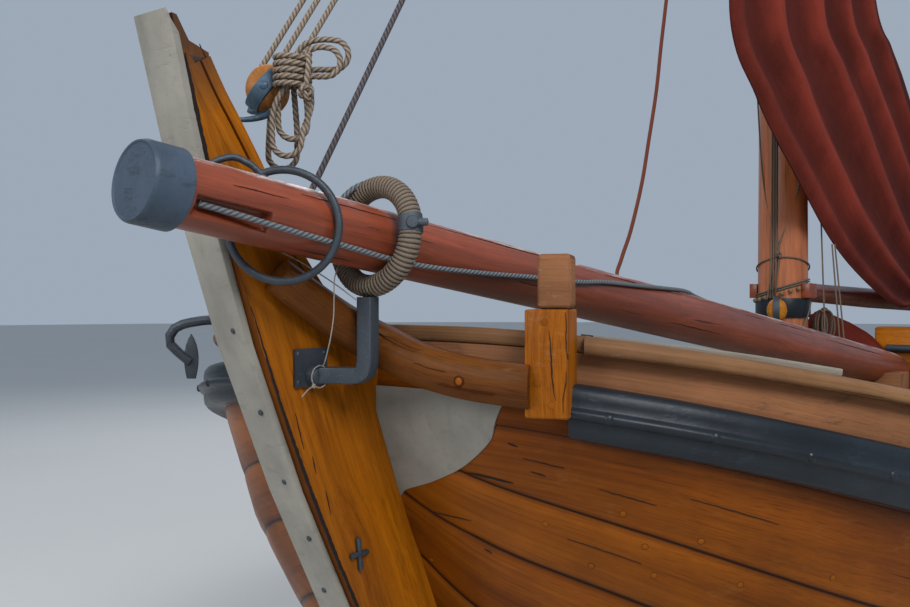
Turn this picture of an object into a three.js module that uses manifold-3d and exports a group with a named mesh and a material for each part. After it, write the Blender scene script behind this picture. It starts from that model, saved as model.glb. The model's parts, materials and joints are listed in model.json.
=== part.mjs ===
// Flat-bottomed wooden fishing sailboat with a bluff bow, a running bowsprit on the port side of the
// stem, leeboards, a gaff mainsail hung in folds and a stern-hung rudder.
// Millimetres, +Z up, +X to the bow, +Y to port, z = 0 under the flat bottom.
// Stations are given as s, the distance aft of the stem face at the rail; x = MID - s.
import * as THREE from "three";
import { mergeVertices } from "three/addons/utils/BufferGeometryUtils.js";
import Module from "manifold-3d";

const wasm = await Module();
wasm.setup();

// Driving dimensions
const MID = 6355; // station of the origin
const GAP = 0.3; // running gap between neighbours
const MAX_BEAM_S = 6300; // station of the greatest beam
const STEM_HALF = 80; // half thickness of the stem
const STEM = { top: 3296, s: -283, slope: 0.2177, curve: 0.1063e-3 }; // face, below its top
const STEM_HEAD = { half: 58, full: 2650, slim: 2850 }; // slimmer head, from full to slim
const FACING = { thick: 25, half: 55, foot: 400 }; // painted facing plank
const POST_HALF = 60; // half thickness of the sternpost
const PLANK = 50;
const BOTTOM = 60;
const CHINE_SEAM = 1.5;
const BULWARK = 50;
const CAP = { height: 45, width: 125 };
const WALE_PROUD = 75;
const DECK = 40;
const DECK_BELOW_RAIL = 80;
const DECK_CAMBER = 120;
const DECK_END = 5200; // aft edge of the foredeck
const MAST = { s: 3880, foot: 200, top: 10600, deck_r: 135, head_r: 70, hounds: 8550, hounds_r: 114 };
const BOWSPRIT = { s: -344, p: 169, z: 2858, heel_s: 4120, heel_p: 526, heel_z: 2224 };
const RIG = { boom_z: 2660, boom_end_s: 10000, boom_end_z: 2500, gaff_z: 7750 };
const LEEBOARD = { s: 5000, z: 1560, inner: 2110, thick: 60, droop: 7 };
const RUDDER = { s: 12361.5, z: 60, rake: 8.166, rod_r: 13, hole_r: 13.8, eye_r: 27, front: -29, post: 31.1 };

const deg = (d) => (d * Math.PI) / 180;
const lerp = (a, b, t) => a + (b - a) * t;
const V = (x, y, z) => new THREE.Vector3(x, y, z);
const at = (s, p, z) => V(MID - s, p, z);
const table = (rows, x) => {
  let k = 1;
  while (k < rows.length - 1 && rows[k][0] < x) k += 1;
  const [a, b] = [rows[k - 1], rows[k]];
  const t = Math.min(1, Math.max(0, (x - a[0]) / (b[0] - a[0])));
  return a.slice(1).map((v, i) => lerp(v, b[i + 1], t));
};

const finish = (colour, roughness, metalness = 0) =>
  new THREE.MeshStandardMaterial({ color: colour, roughness, metalness });
const VARNISH = finish(0x9c5418, 0.35);
const BROWN = finish(0x7a4a26, 0.6);
const SPAR = finish(0x8a3f1e, 0.35);
const WEATHERED = finish(0x9a958a, 0.85);
const TAR = finish(0x1d2126, 0.5);
const IRON = finish(0x2b2e33, 0.5, 0.6);
const WHITE = finish(0xc9c8c0, 0.6);
const CANVAS = finish(0x8c3a2c, 0.9);
const ROPE = finish(0x8f8069, 0.95);

const group = new THREE.Group();
const add = (name, geometry, material, place) => {
  const mesh = new THREE.Mesh(geometry, material);
  mesh.name = name;
  if (place) place(mesh);
  group.add(mesh);
  return mesh;
};

// Closed skin over a row of rings with the same even number of points; the ends are closed by a
// strip that pairs the first points with the last ones.
const loft = (rings, round = false) => {
  const n = rings[0].length;
  const points = rings.flat().flatMap((v) => [v.x, v.y, v.z]);
  const index = [];
  const last = round ? rings.length : rings.length - 1;
  for (let i = 0; i < last; i += 1) {
    const j = (i + 1) % rings.length;
    for (let k = 0; k < n; k += 1) {
      const m = (k + 1) % n;
      index.push(i * n + k, j * n + k, j * n + m, i * n + k, j * n + m, i * n + m);
    }
  }
  if (!round) {
    for (const [base, flip] of [[0, false], [(rings.length - 1) * n, true]]) {
      for (let k = 0; k < n / 2 - 1; k += 1) {
        const [a, b, c, d] = [k, k + 1, n - 2 - k, n - 1 - k].map((q) => q + base);
        const faces = b === c ? [[a, b, d]] : [[a, b, c], [a, c, d]];
        for (const f of faces) index.push(...(flip ? [f[0], f[2], f[1]] : f));
      }
    }
  }
  let volume = 0;
  const at3 = (q) => V(points[q * 3], points[q * 3 + 1], points[q * 3 + 2]);
  for (let f = 0; f < index.length; f += 3) {
    volume += at3(index[f]).dot(at3(index[f + 1]).cross(at3(index[f + 2])));
  }
  if (volume < 0) {
    for (let f = 0; f < index.length; f += 3) {
      [index[f + 1], index[f + 2]] = [index[f + 2], index[f + 1]];
    }
  }
  const geometry = new THREE.BufferGeometry();
  geometry.setAttribute("position", new THREE.Float32BufferAttribute(points, 3));
  geometry.setIndex(index);
  return geometry;
};

const solid = (geometry) => {
  const bare = geometry.clone();
  bare.deleteAttribute("normal");
  bare.deleteAttribute("uv");
  const merged = mergeVertices(bare, 1e-3);
  return new wasm.Manifold(
    new wasm.Mesh({
      numProp: 3,
      vertProperties: new Float32Array(merged.attributes.position.array),
      triVerts: new Uint32Array(merged.index.array),
    }),
  );
};
const skin = (manifold) => {
  const mesh = manifold.getMesh();
  const geometry = new THREE.BufferGeometry();
  geometry.setAttribute("position", new THREE.BufferAttribute(mesh.vertProperties, 3));
  geometry.setIndex(new THREE.BufferAttribute(mesh.triVerts, 1));
  return geometry;
};
const join = (...parts) => skin(parts.map(solid).reduce((a, b) => a.add(b)));
const cut = (base, ...tools) => skin(tools.map(solid).reduce((a, b) => a.subtract(b), solid(base)));

// Box from its limits in x, y and z.
const block = (x0, x1, y0, y1, z0, z1) => {
  const box = new THREE.BoxGeometry(Math.abs(x1 - x0), y1 - y0, z1 - z0);
  return box.translate((x0 + x1) / 2, (y0 + y1) / 2, (z0 + z1) / 2);
};
// Turned piece: rows of [distance along, radius], from point a towards point b.
const turned = (rows, a, b, sides = 20) => {
  const profile = [
    new THREE.Vector2(0, rows[0][0]),
    ...rows.map(([d, r]) => new THREE.Vector2(r, d)),
    new THREE.Vector2(0, rows.at(-1)[0]),
  ];
  const geometry = new THREE.LatheGeometry(profile, sides);
  const turn = new THREE.Quaternion().setFromUnitVectors(V(0, 1, 0), b.clone().sub(a).normalize());
  return geometry.applyQuaternion(turn).translate(a.x, a.y, a.z);
};
const rod = (a, b, r, sides = 10) => turned([[0, r], [a.distanceTo(b), r]], a, b, sides);
// Ring about an axis through a point, as a turned closed section.
const ring = (centre, axis, radius, bar, sides = 28, round = 8) => {
  const profile = [];
  for (let k = 0; k <= round; k += 1) {
    const a = (2 * Math.PI * k) / round;
    profile.push(new THREE.Vector2(radius + bar * Math.cos(a), bar * Math.sin(a)));
  }
  const geometry = new THREE.LatheGeometry(profile, sides);
  const turn = new THREE.Quaternion().setFromUnitVectors(V(0, 1, 0), axis.clone().normalize());
  return geometry.applyQuaternion(turn).translate(centre.x, centre.y, centre.z);
};
// Bar of round or rectangular section along a curve.
const bar = (points, w, h, steps, round = false) => {
  const path = new THREE.CatmullRomCurve3(points, false, "centripetal");
  const shape = new THREE.Shape();
  if (round) {
    for (let k = 0; k < 10; k += 1) {
      const a = (2 * Math.PI * k) / 10;
      const [x, y] = [(w / 2) * Math.cos(a), (h / 2) * Math.sin(a)];
      if (k) shape.lineTo(x, y);
      else shape.moveTo(x, y);
    }
  } else {
    shape.moveTo(-w / 2, -h / 2);
    shape.lineTo(w / 2, -h / 2).lineTo(w / 2, h / 2).lineTo(-w / 2, h / 2);
  }
  shape.closePath();
  return new THREE.ExtrudeGeometry(shape, { steps, extrudePath: path, curveSegments: 1 });
};
// Timber of chamfered rectangular section along a curve, w across and h upright.
const timber = (points, w, h, steps, chamfer = 0.16) => {
  const path = new THREE.CatmullRomCurve3(points, false, "centripetal");
  const section = [
    [-0.5, -0.5 + chamfer], [-0.5, 0.5 - chamfer], [-0.5 + chamfer, 0.5], [0.5 - chamfer, 0.5],
    [0.5, 0.5 - chamfer], [0.5, -0.5 + chamfer], [0.5 - chamfer, -0.5], [-0.5 + chamfer, -0.5],
  ];
  const rings = path.getSpacedPoints(steps).map((c, k) => {
    const along = path.getTangentAt(k / steps);
    const across = V(0, 0, 1).cross(along).normalize();
    const up = along.clone().cross(across);
    return section.map(([a, b]) =>
      c.clone().addScaledVector(across, a * w).addScaledVector(up, b * h));
  });
  return loft(rings);
};
// Plate with its outline in the plane of x and z, between two values of y.
const sidePlate = (outline, y0, y1) => {
  const shape = new THREE.Shape(outline.map(([s, z]) => new THREE.Vector2(MID - s, z)));
  const geometry = new THREE.ExtrudeGeometry(shape, { depth: y1 - y0, bevelEnabled: false });
  return geometry.rotateX(Math.PI / 2).translate(0, y1, 0);
};

// Hull lines: height of the rail, top and depth of the wale, underside of the bottom.
const railTop = (s) => 1800 + (s < 7000 ? 0.0172e-3 : 0.0125e-3) * (7000 - s) ** 2;
const WALE = [ // s, top below the rail, depth
  [400, 115, 130],
  [550, 126, 140],
  [1400, 174, 180],
  [3000, 220, 190],
  [6000, 255, 190],
  [9500, 250, 185],
  [12300, 200, 150],
];
const waleTop = (s) => railTop(s) - table(WALE, s)[0];
const waleFoot = (s) => waleTop(s) - table(WALE, s)[1];
const underside = (s) =>
  s < 1900 ? 0.6e-3 * (1900 - s) ** 2 : s > 10600 ? 0.06e-3 * (s - 10600) ** 2 : 0;
const stemFace = (z) => STEM.s + STEM.slope * (STEM.top - z) + STEM.curve * (STEM.top - z) ** 2;

// Levels of the side: share of the height, half breadth amidships, fullness of the bow and of the
// stern, station of the rabbet at the stem and at the sternpost.
const LEVELS = [
  [0.0, 1280, 0.62, 0.95, 1640, 11960],
  [0.09, 1500, 0.54, 0.86, 1430, 11990],
  [0.25, 1710, 0.46, 0.76, 1110, 12040],
  [0.47, 1860, 0.39, 0.66, 800, 12120],
  [0.73, 1955, 0.34, 0.58, 555, 12210],
  [1.0, 2000, 0.34, 0.5, 415, 12300],
];
const BOW_STEPS = 14;
const STERN_STEPS = 9;
const planCurve = ([, half, bow, stern, s0, s1]) => {
  const curve = [];
  for (let k = 0; k <= BOW_STEPS; k += 1) {
    const t = (k / BOW_STEPS) ** 2.6;
    const b = (1 - (1 - t) ** 2) ** bow;
    curve.push([lerp(s0, MAX_BEAM_S, t), lerp(STEM_HALF + GAP, half, b)]);
  }
  for (let k = 1; k <= STERN_STEPS; k += 1) {
    const t = 1 - (1 - k / STERN_STEPS) ** 1.35;
    const b = (1 - t ** 2.2) ** stern;
    curve.push([lerp(MAX_BEAM_S, s1, t), lerp(POST_HALF + GAP, half, b)]);
  }
  return curve;
};
// The same curve moved outwards (or inwards, below zero), with its ends kept on their planes.
const offset = (curve, out) =>
  curve.map(([s, p], i) => {
    const a = curve[Math.max(0, i - 1)];
    const b = curve[Math.min(curve.length - 1, i + 1)];
    const length = Math.hypot(b[0] - a[0], b[1] - a[1]);
    const [ts, tp] = [(b[0] - a[0]) / length, (b[1] - a[1]) / length];
    let q = [s - tp * out, p + ts * out];
    if (i === 0 || i === curve.length - 1) {
      const slide = (p - q[1]) / tp;
      q = [q[0] + ts * slide, p];
    }
    return q;
  });
const levelHeight = (share, s) => {
  const base = underside(s) + BOTTOM + CHINE_SEAM;
  return lerp(base, waleFoot(s) - GAP, share);
};
const OUTER = LEVELS.map(planCurve);
const INNER = OUTER.map((curve) => offset(curve, -PLANK));
const RAIL = OUTER.at(-1);
const RAIL_INNER = offset(RAIL, -BULWARK);
const STATIONS = RAIL.length;

// Half breadth at a station on one curve.
const halfAt = (curve, s) => {
  let k = 1;
  while (k < curve.length - 1 && curve[k][0] < s) k += 1;
  const [a, b] = [curve[k - 1], curve[k]];
  return lerp(a[1], b[1], (s - a[0]) / (b[0] - a[0]));
};
// Half breadth of the inside of the side at a station and height.
const insideAt = (s, z) => {
  const rows = LEVELS.map(([share], k) => [levelHeight(share, s), halfAt(INNER[k], s)]);
  return table(rows, z)[0];
};

const capRails = [];
for (const [side, name] of [[1, "port"], [-1, "starboard"]]) {
  const place = ([s, p], z) => at(s, side * p, z);
  const rings = [];
  for (let i = 0; i < STATIONS; i += 1) {
    const outer = LEVELS.map(([share], k) => {
      const q = OUTER[k][i];
      return place(q, levelHeight(share, q[0]));
    });
    const inner = LEVELS.map(([share], k) => {
      const q = INNER[k][i];
      return place(q, levelHeight(share, OUTER[k][i][0]));
    });
    rings.push([...outer, ...inner.reverse()]);
  }
  add(`${name}_planking`, loft(rings), VARNISH);

  // Strakes above the planking, each a row of [offset out, height above the wale foot as 0..1 of
  // the wale, then of the bulwark].
  const heights = RAIL.map(([s]) => [
    waleFoot(s) + GAP / 2, waleTop(s) - GAP / 2,
    waleTop(s) + GAP / 2, railTop(s) - CAP.height - GAP,
  ]);
  const strake = (section, from = 0, to = STATIONS) => {
    const outs = section.map(([out]) => offset(RAIL, out));
    const list = [];
    for (let i = from; i < to; i += 1) {
      const h = heights[i];
      list.push(section.map(([, band, share], j) =>
        place(outs[j][i], lerp(h[band], h[band + 1], share))));
    }
    if (to < STATIONS) {
      const before = list.at(-2);
      list.push(list.pop().map((v, j) => v.clone().lerp(before[j], GAP / v.distanceTo(before[j]))));
    }
    return loft(list);
  };
  // Full half-round wale with its rubbing iron, and the flush strake that runs on to the stem
  // forward of the port post.
  const proud = WALE_PROUD;
  const wale = [
    [proud - 22, 0, 0], [0, 0, 0], [-BULWARK, 0, 0], [-BULWARK, 0, 1], [-4, 0, 1],
    [proud - 24, 0, 1], [proud - 8, 0, 0.88], [proud - 3, 0, 0.64], [proud + 14, 0, 0.58],
    [proud + 14, 0, 0.42], [proud - 3, 0, 0.36], [proud - 8, 0, 0.12],
  ];
  const first = side > 0 ? 3 : 0;
  add(`${name}_wale`, strake(wale, first), TAR);
  if (side > 0) {
    const flush = [[-BULWARK, 0, 0], [-BULWARK, 0, 1], [-4, 0, 1], [0, 0, 0]];
    add("port_bow_strake", strake(flush, 0, first + 1), VARNISH);
  }
  const bulwark = [[-4, 2, 0], [-16, 2, 1], [-BULWARK, 2, 1], [-BULWARK, 2, 0]];
  add(`${name}_bulwark`, strake(bulwark), BROWN);

  // Rounded cap rail; ahead of the port post it is no wider than the bulwark.
  const capOuts = [-CAP.width + 38, -CAP.width + 28, -CAP.width + 40, -40, 10, 34, 38, 30, -16,
    -BULWARK];
  const narrowOuts = [-50, -50, -48, -30, -20, -14, -14, -14, -16, -49];
  const capHeights = [0, 0.5, 0.94, 1, 0.98, 0.75, 0.4, 0, 0, 0];
  const capRing = (widths, i) => capHeights.map((h, j) =>
    place(offset(RAIL, widths[j])[i], railTop(RAIL[i][0]) - CAP.height + h * CAP.height));
  const capRings = RAIL.map((_, i) => capRing(i < first ? narrowOuts : capOuts, i));
  if (first) {
    const next = capRings[first + 1];
    const full = capRings[first].map((v, j) => v.clone().lerp(next[j], 0.01));
    capRings.splice(first, 1, capRing(narrowOuts, first), full);
  }
  capRails.push(loft(capRings));
  add(`${name}_cap_rail`, capRails.at(-1), BROWN);
}

// Flat bottom.
const bottomRings = OUTER[0].map(([s, p]) => [
  at(s, -p, underside(s)), at(s, p, underside(s)),
  at(s, p, underside(s) + BOTTOM), at(s, -p, underside(s) + BOTTOM),
]);
add("flat_bottom", loft(bottomRings), TAR);

// Stem: face, forefoot, seat on the bottom, inner edge, upper diagonal edge.
const stemInner = (z) => stemFace(z) + FACING.thick;
const STEM_LEVELS = [2900, 2500, 2100, 1700, 1300, 900, 600, FACING.foot];
const HEAD_Z = 3243; // where the diagonal meets the facing
const STEM_OUTLINE = [
  [stemInner(HEAD_Z), HEAD_Z], ...STEM_LEVELS.map((z) => [stemInner(z), z]),
  [stemFace(140) + 10, 140], [stemFace(45), 45], [1639, 45], [1639, 300], [1560, 420],
  [1400, 650], [1120, 1150], [760, 1800], [470, 2400], [358, 2455], [-6, 2930], [-115, 3074],
  [-214, 3203],
];
// Wedge that slims the head of the stem on one side.
const slimming = (side) => loft([1000, -1000].map((s) => [
  [STEM_HALF, STEM_HEAD.full], [STEM_HEAD.half, STEM_HEAD.slim], [STEM_HEAD.half, 3400], [200, 3400],
  [200, STEM_HEAD.slim], [200, STEM_HEAD.full],
].map(([p, z]) => at(s, side * p, z))));
add("stem", cut(sidePlate(STEM_OUTLINE, -STEM_HALF, STEM_HALF), slimming(1), slimming(-1)), VARNISH);
const FACING_OUTLINE = [
  [stemFace(STEM.top), STEM.top], ...STEM_LEVELS.map((z) => [stemFace(z), z]),
  ...STEM_LEVELS.toReversed().map((z) => [stemInner(z) - GAP, z]),
  [stemInner(HEAD_Z) - GAP, HEAD_Z], [-270, 3272],
];
add("stem_facing", sidePlate(FACING_OUTLINE, -FACING.half, FACING.half), WHITE);

// Sternpost.
const POST_OUTLINE = [
  [11800, 152], [11962, 177], [11963, 115], [12330, 60], [12650, 2290], [12470, 2290], [12380, 1500],
  [12000, 420], [11800, 330],
];
add("sternpost", sidePlate(POST_OUTLINE, -POST_HALF, POST_HALF), VARNISH);

// Foredeck with openings for the mast and the hatch.
const HATCH = { s0: 2200, s1: 2800, p0: -650, p1: -50, wall: 40, above: 105 };
const DECK_START = 506;
const deckTop = (s, share) => {
  const camber = DECK_CAMBER * Math.min(1, halfAt(RAIL_INNER, s) / 1600);
  return railTop(s) - DECK_BELOW_RAIL + camber * (1 - share ** 2);
};
const deckStations = [
  DECK_START, ...RAIL_INNER.map(([s]) => s).filter((s) => s > DECK_START + 10 && s < DECK_END),
  DECK_END,
];
const DECK_SHARES = [-1, -0.66, -0.33, 0, 0.33, 0.66, 1];
const deckRings = deckStations.map((s) => {
  const half = halfAt(RAIL_INNER, s) - 2;
  return [
    ...DECK_SHARES.map((q) => at(s, q * half, deckTop(s, q))),
    ...DECK_SHARES.map((q) => at(s, q * half, deckTop(s, q) - DECK)).reverse(),
  ];
});
const mastHole = turned([[0, MAST.deck_r + GAP], [900, MAST.deck_r + GAP]], at(MAST.s, 0, 1700),
  at(MAST.s, 0, 2600), 24);
add("foredeck", cut(
  loft(deckRings), mastHole,
  block(MID - HATCH.s0 + GAP, MID - HATCH.s1 - GAP, HATCH.p0 - GAP, HATCH.p1 + GAP, 1700, 2600),
), WEATHERED);
// What stands on the deck is cut to its camber.
const deckBody = loft(deckStations.map((s) => {
  const half = halfAt(RAIL_INNER, s) - 2;
  return [
    ...DECK_SHARES.map((q) => at(s, q * half, deckTop(s, q) + GAP)),
    ...DECK_SHARES.map((q) => at(s, q * half, deckTop(s, q) - 500)).reverse(),
  ];
}));
const hatchTop = deckTop(2500, 0) + HATCH.above;
add("hatch_coaming", cut(
  block(MID - HATCH.s0, MID - HATCH.s1, HATCH.p0, HATCH.p1, hatchTop - 260, hatchTop),
  block(MID - HATCH.s0 - HATCH.wall, MID - HATCH.s1 + HATCH.wall,
    HATCH.p0 + HATCH.wall, HATCH.p1 - HATCH.wall, hatchTop - 300, hatchTop + 10),
), BROWN);
add("hatch_lid", block(MID - HATCH.s0 + 20, MID - HATCH.s1 - 20, HATCH.p0 - 20, HATCH.p1 + 20,
  hatchTop + GAP, hatchTop + 32), WEATHERED);

// Bulkhead at the aft edge of the foredeck, with a door.
const DOOR = { p0: -300, p1: 260, z0: 560, z1: 1560 };
const bulkheadS = DECK_END - 160;
const sectionAt = (s, thick, z0, z1) => {
  const heights = [0, 0.2, 0.4, 0.6, 0.8, 1].map((t) => lerp(z0, z1, t));
  const fits = (z) => Math.min(insideAt(s, z), insideAt(s + thick, z)) - 4;
  const half = (z) => (z < waleFoot(s) - 5 ? fits(z) : Math.min(halfAt(RAIL_INNER, s) - 4, fits(z)));
  return [s, s + thick].map((q) => [
    ...heights.map((z) => at(q, half(z), z)),
    ...heights.map((z) => at(q, -half(z), z)).reverse(),
  ]);
};
const bulkheadTop = deckTop(DECK_END, 1) - DECK - 4;
add("bulkhead", cut(
  loft(sectionAt(bulkheadS, 45, BOTTOM + GAP, bulkheadTop)),
  block(MID - bulkheadS + 20, MID - bulkheadS - 80, DOOR.p0, DOOR.p1, DOOR.z0, DOOR.z1),
), BROWN);
add("bulkhead_door", block(MID - bulkheadS - 45.5, MID - bulkheadS - 76,
  DOOR.p0 - 30, DOOR.p1 + 30, DOOR.z0 - 25, DOOR.z1 + 25), BROWN);
add("main_beam", loft([bulkheadS + 46, DECK_END].map((s) => {
  const half = halfAt(RAIL_INNER, bulkheadS) - 6;
  return [
    ...DECK_SHARES.map((q) => at(s, q * half, deckTop(DECK_END, q) - DECK - GAP)),
    ...DECK_SHARES.map((q) => at(s, q * half, deckTop(DECK_END, q) - DECK - 130)).reverse(),
  ];
})), BROWN);

// Open well: floor, fish trunk, after deck.
const plateBetween = (s0, s1, z, thick) => {
  const stations = [0, 0.2, 0.4, 0.6, 0.8, 1].map((t) => lerp(s0, s1, t));
  return loft(stations.map((s) => {
    const half = Math.min(insideAt(s, z), insideAt(s, z + thick)) - 6;
    return [at(s, -half, z), at(s, half, z), at(s, half, z + thick), at(s, -half, z + thick)];
  }));
};
add("well_floor", plateBetween(bulkheadS + 45 + GAP, 10800, 330, 35), WEATHERED);
add("fish_trunk", loft([
  [6100, 900, 820], [8300, 860, 780],
].map(([s, low, high]) => [
  at(s, -low, 365 + GAP), at(s, low, 365 + GAP), at(s, high, 960), at(s, -high, 960),
])), BROWN);
add("after_deck", join(plateBetween(10400, 11750, 1180, 40),
  loft(sectionAt(10420, 40, 365 + GAP, 1190))), WEATHERED);

// Mast and its fittings.
add("mast_step", block(MID - MAST.s + 260, MID - MAST.s - 260, -190, 190, BOTTOM + GAP,
  MAST.foot - GAP), BROWN);
add("mast", turned([
  [0, 130], [1600, MAST.deck_r], [2600, MAST.deck_r], [5600, 118],
  [MAST.hounds - MAST.foot - 60, 98], [MAST.hounds - MAST.foot - 60, MAST.hounds_r],
  [MAST.hounds - MAST.foot + 60, MAST.hounds_r], [MAST.hounds - MAST.foot + 60, 96],
  [MAST.top - MAST.foot, MAST.head_r],
], at(MAST.s, 0, MAST.foot), at(MAST.s, 0, MAST.top), 24), SPAR);
const collar = (z0, z1, inner, outer, sides = 24) =>
  cut(rod(at(MAST.s, 0, z0), at(MAST.s, 0, z1), outer, sides),
    rod(at(MAST.s, 0, z0 - 5), at(MAST.s, 0, z1 + 5), inner, sides));
add("mast_band", collar(2513, RIG.boom_z - 40 - GAP, MAST.deck_r + GAP, MAST.deck_r + 14), IRON);

// Forestay, set up on the back of the stem.
const stayFoot = at(134, 0, 2753.3);
const stayHead = at(MAST.s - MAST.hounds_r - 8, 0, MAST.hounds + 30);
add("forestay", rod(stayFoot, stayHead, 9, 8), IRON);

// Bowsprit, with its cap and traveller, its bracket and served ring, chock and bitt.
const spritA = at(BOWSPRIT.s, BOWSPRIT.p, BOWSPRIT.z);
const spritB = at(BOWSPRIT.heel_s, BOWSPRIT.heel_p, BOWSPRIT.heel_z);
const spritAxis = spritB.clone().sub(spritA).normalize();
const spritLength = spritA.distanceTo(spritB);
const onSprit = (s) => {
  const t = (s - BOWSPRIT.s) / (BOWSPRIT.heel_s - BOWSPRIT.s);
  return spritA.clone().lerp(spritB, t);
};
const SPRIT_RADII = [[0, 82], [350, 84], [1500, 87], [3000, 94], [4000, 86], [spritLength, 74]];
add("bowsprit", turned(SPRIT_RADII, spritA, spritB, 20), SPAR);
const capFace = spritA.clone().addScaledVector(spritAxis, -GAP);
add("bowsprit_cap", turned([[0, 94], [88, 94], [98, 86]], capFace,
  capFace.clone().addScaledVector(spritAxis, -10), 20), TAR);
// Traveller: an open ring over the spar with a hook on it.
const TRAVELLER = { s: -44, drop: 20, radius: 135.5, bar: 10 };
const travellerCentre = onSprit(TRAVELLER.s).add(V(0, 0, -TRAVELLER.drop));
add("traveller", join(
  ring(travellerCentre, V(0.788, 0.6157, 0), TRAVELLER.radius, TRAVELLER.bar),
  bar([
    at(-71, 160, 2910), at(-86, 144, 2932), at(-102, 130, 2947), at(-130, 110, 2959),
    at(-170, 91, 2945), at(-195, 88, 2919),
  ], 17, 17, 12, true),
), IRON);
const SERVED = { s: 256, lift: 10, radius: 133, bar: 28, reach: 159.5 }; // reach below its centre
const ringCentre = onSprit(SERVED.s).add(V(0, 2, SERVED.lift));
add("served_ring", ring(ringCentre, spritAxis, SERVED.radius, SERVED.bar, 36, 10), ROPE);
const BRACKET = { s: 220, p: 224, z: 2415, bar: 42 };
const bracketTop = ringCentre.z - SERVED.reach;
const half = BRACKET.bar / 2;
add("bowsprit_bracket", join(
  timber([at(197, STEM_HALF + 8, BRACKET.z), at(212, 150, BRACKET.z), at(BRACKET.s, BRACKET.p, BRACKET.z)],
    BRACKET.bar, BRACKET.bar, 4, 0.1),
  block(MID - BRACKET.s + half, MID - BRACKET.s - half, BRACKET.p - half, BRACKET.p + half,
    BRACKET.z - half, bracketTop - 6),
  block(MID - 196, MID - 286, 190, 250, bracketTop - 14, bracketTop),
  block(MID - 88, MID - 216, STEM_HALF + GAP, STEM_HALF + 12, 2386, 2488),
  rod(at(156, STEM_HALF + 8, 2416), at(156, STEM_HALF + 36, 2416), 24, 14),
), IRON);
const chockS = 3850;
const chockPoint = onSprit(chockS);
add("heel_chock", cut(
  block(MID - chockS + 90, MID - chockS - 90, chockPoint.y - 150, chockPoint.y + 150,
    chockPoint.z - 260, chockPoint.z - 30),
  turned(SPRIT_RADII.map(([d, r]) => [d, r + GAP]), spritA, spritB, 20), deckBody,
), BROWN);
const BITT = { s: 4330, deep: 110, p0: 370, p1: 820, top: 2455, pin_r: 21, pin_z: 2335 };
add("heel_bitt", cut(block(MID - BITT.s, MID - BITT.s - BITT.deep, BITT.p0, BITT.p1, 1700, BITT.top),
  deckBody), VARNISH);
const pinS = BITT.s - BITT.pin_r - GAP;
add("bitt_pin", rod(at(pinS, 440, BITT.pin_z), at(pinS, 980, BITT.pin_z), BITT.pin_r, 12), IRON);

// Bow timbers on the port side: two-part post square to the side, curved chock timber that butts
// against it.
const POST = { along: 112, deep: 116, share: 0.62, foot: 2320, seam: 2592, top: 2730 };
const [seatA, seatB] = [RAIL[2], RAIL[3]];
const seatAngle = Math.atan2(seatB[1] - seatA[1], seatB[0] - seatA[0]);
const [alongS, alongP] = [Math.cos(seatAngle), Math.sin(seatAngle)];
const postS = lerp(seatA[0], seatB[0], POST.share) - alongP * (POST.deep / 2 + 1);
const postP = lerp(seatA[1], seatB[1], POST.share) + alongS * (POST.deep / 2 + 1);
const postBlock = (z0, z1, grow = 0) => {
  const box = new THREE.BoxGeometry(POST.along + 2 * grow, POST.deep + 2 * grow, z1 - z0);
  return box.rotateZ(-seatAngle + Math.PI).translate(MID - postS, postP, (z0 + z1) / 2);
};
add("bow_post_lower", postBlock(POST.foot, POST.seam), VARNISH);
add("bow_post_upper", postBlock(POST.seam + GAP, POST.top, -2), VARNISH);
const CHOCK_PATH = [
  at(386, 640, 2399), at(372, 592, 2401), at(345, 450, 2415), at(320, 310, 2446),
  at(298, 205, 2490), at(252, 148, 2530), at(195, 127, 2566), at(50, 123, 2650),
];
add("bow_chock_timber", cut(timber(CHOCK_PATH, 84, 112, 24),
  postBlock(POST.foot - 50, POST.top, GAP)), VARNISH);

// Tackle on the back of the stem.
const EYE = { s: -44, z: 3060, r: 24, bar: 6 };
const eyeWithShank = join(
  ring(at(EYE.s, 0, EYE.z), V(0, 1, 0), EYE.r, EYE.bar, 20),
  rod(at(EYE.s - 85, 0, EYE.z), at(EYE.s - 20, 0, EYE.z), 8, 10),
);
add("stem_eye", cut(eyeWithShank,
  sidePlate(STEM_OUTLINE.map(([s, z]) => [s + 2 * GAP, z]), -STEM_HALF, STEM_HALF)), IRON);
const BLOCK_FOOT = at(70, 0, 3118);
const BLOCK_HEAD = at(86, 0, 3218);
const blockShell = (grow) => turned(
  [[0, 16], [18, 44], [50, 56], [82, 44], [101, 18]].map(([d, r]) => [d, r + grow]),
  BLOCK_FOOT, BLOCK_HEAD, 14);
const blockHook = (grow) => bar([
  at(74, 0, 3130), at(40, 30, 3096), at(-8, 34, 3076), at(-40, 20, 3071), at(-44, 0, 3071.2),
  at(-42, -20, 3073), at(-33, -29, 3088),
], 12 + 2 * grow, 12 + 2 * grow, 18, true);
add("tackle_block", join(blockShell(0), blockHook(0)), VARNISH);

// Plate of an upright outline that looks over the port bow, about its centre.
const overBow = (shape, depth, centre) => {
  const turn = new THREE.Matrix4().makeBasis(V(-0.616, 0.788, 0).normalize(), V(0, 0, 1),
    V(0.788, 0.616, 0).normalize());
  return new THREE.ExtrudeGeometry(shape, { depth, bevelEnabled: false, curveSegments: 7 })
    .translate(0, 0, -depth / 2).applyMatrix4(turn.setPosition(centre));
};
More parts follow.
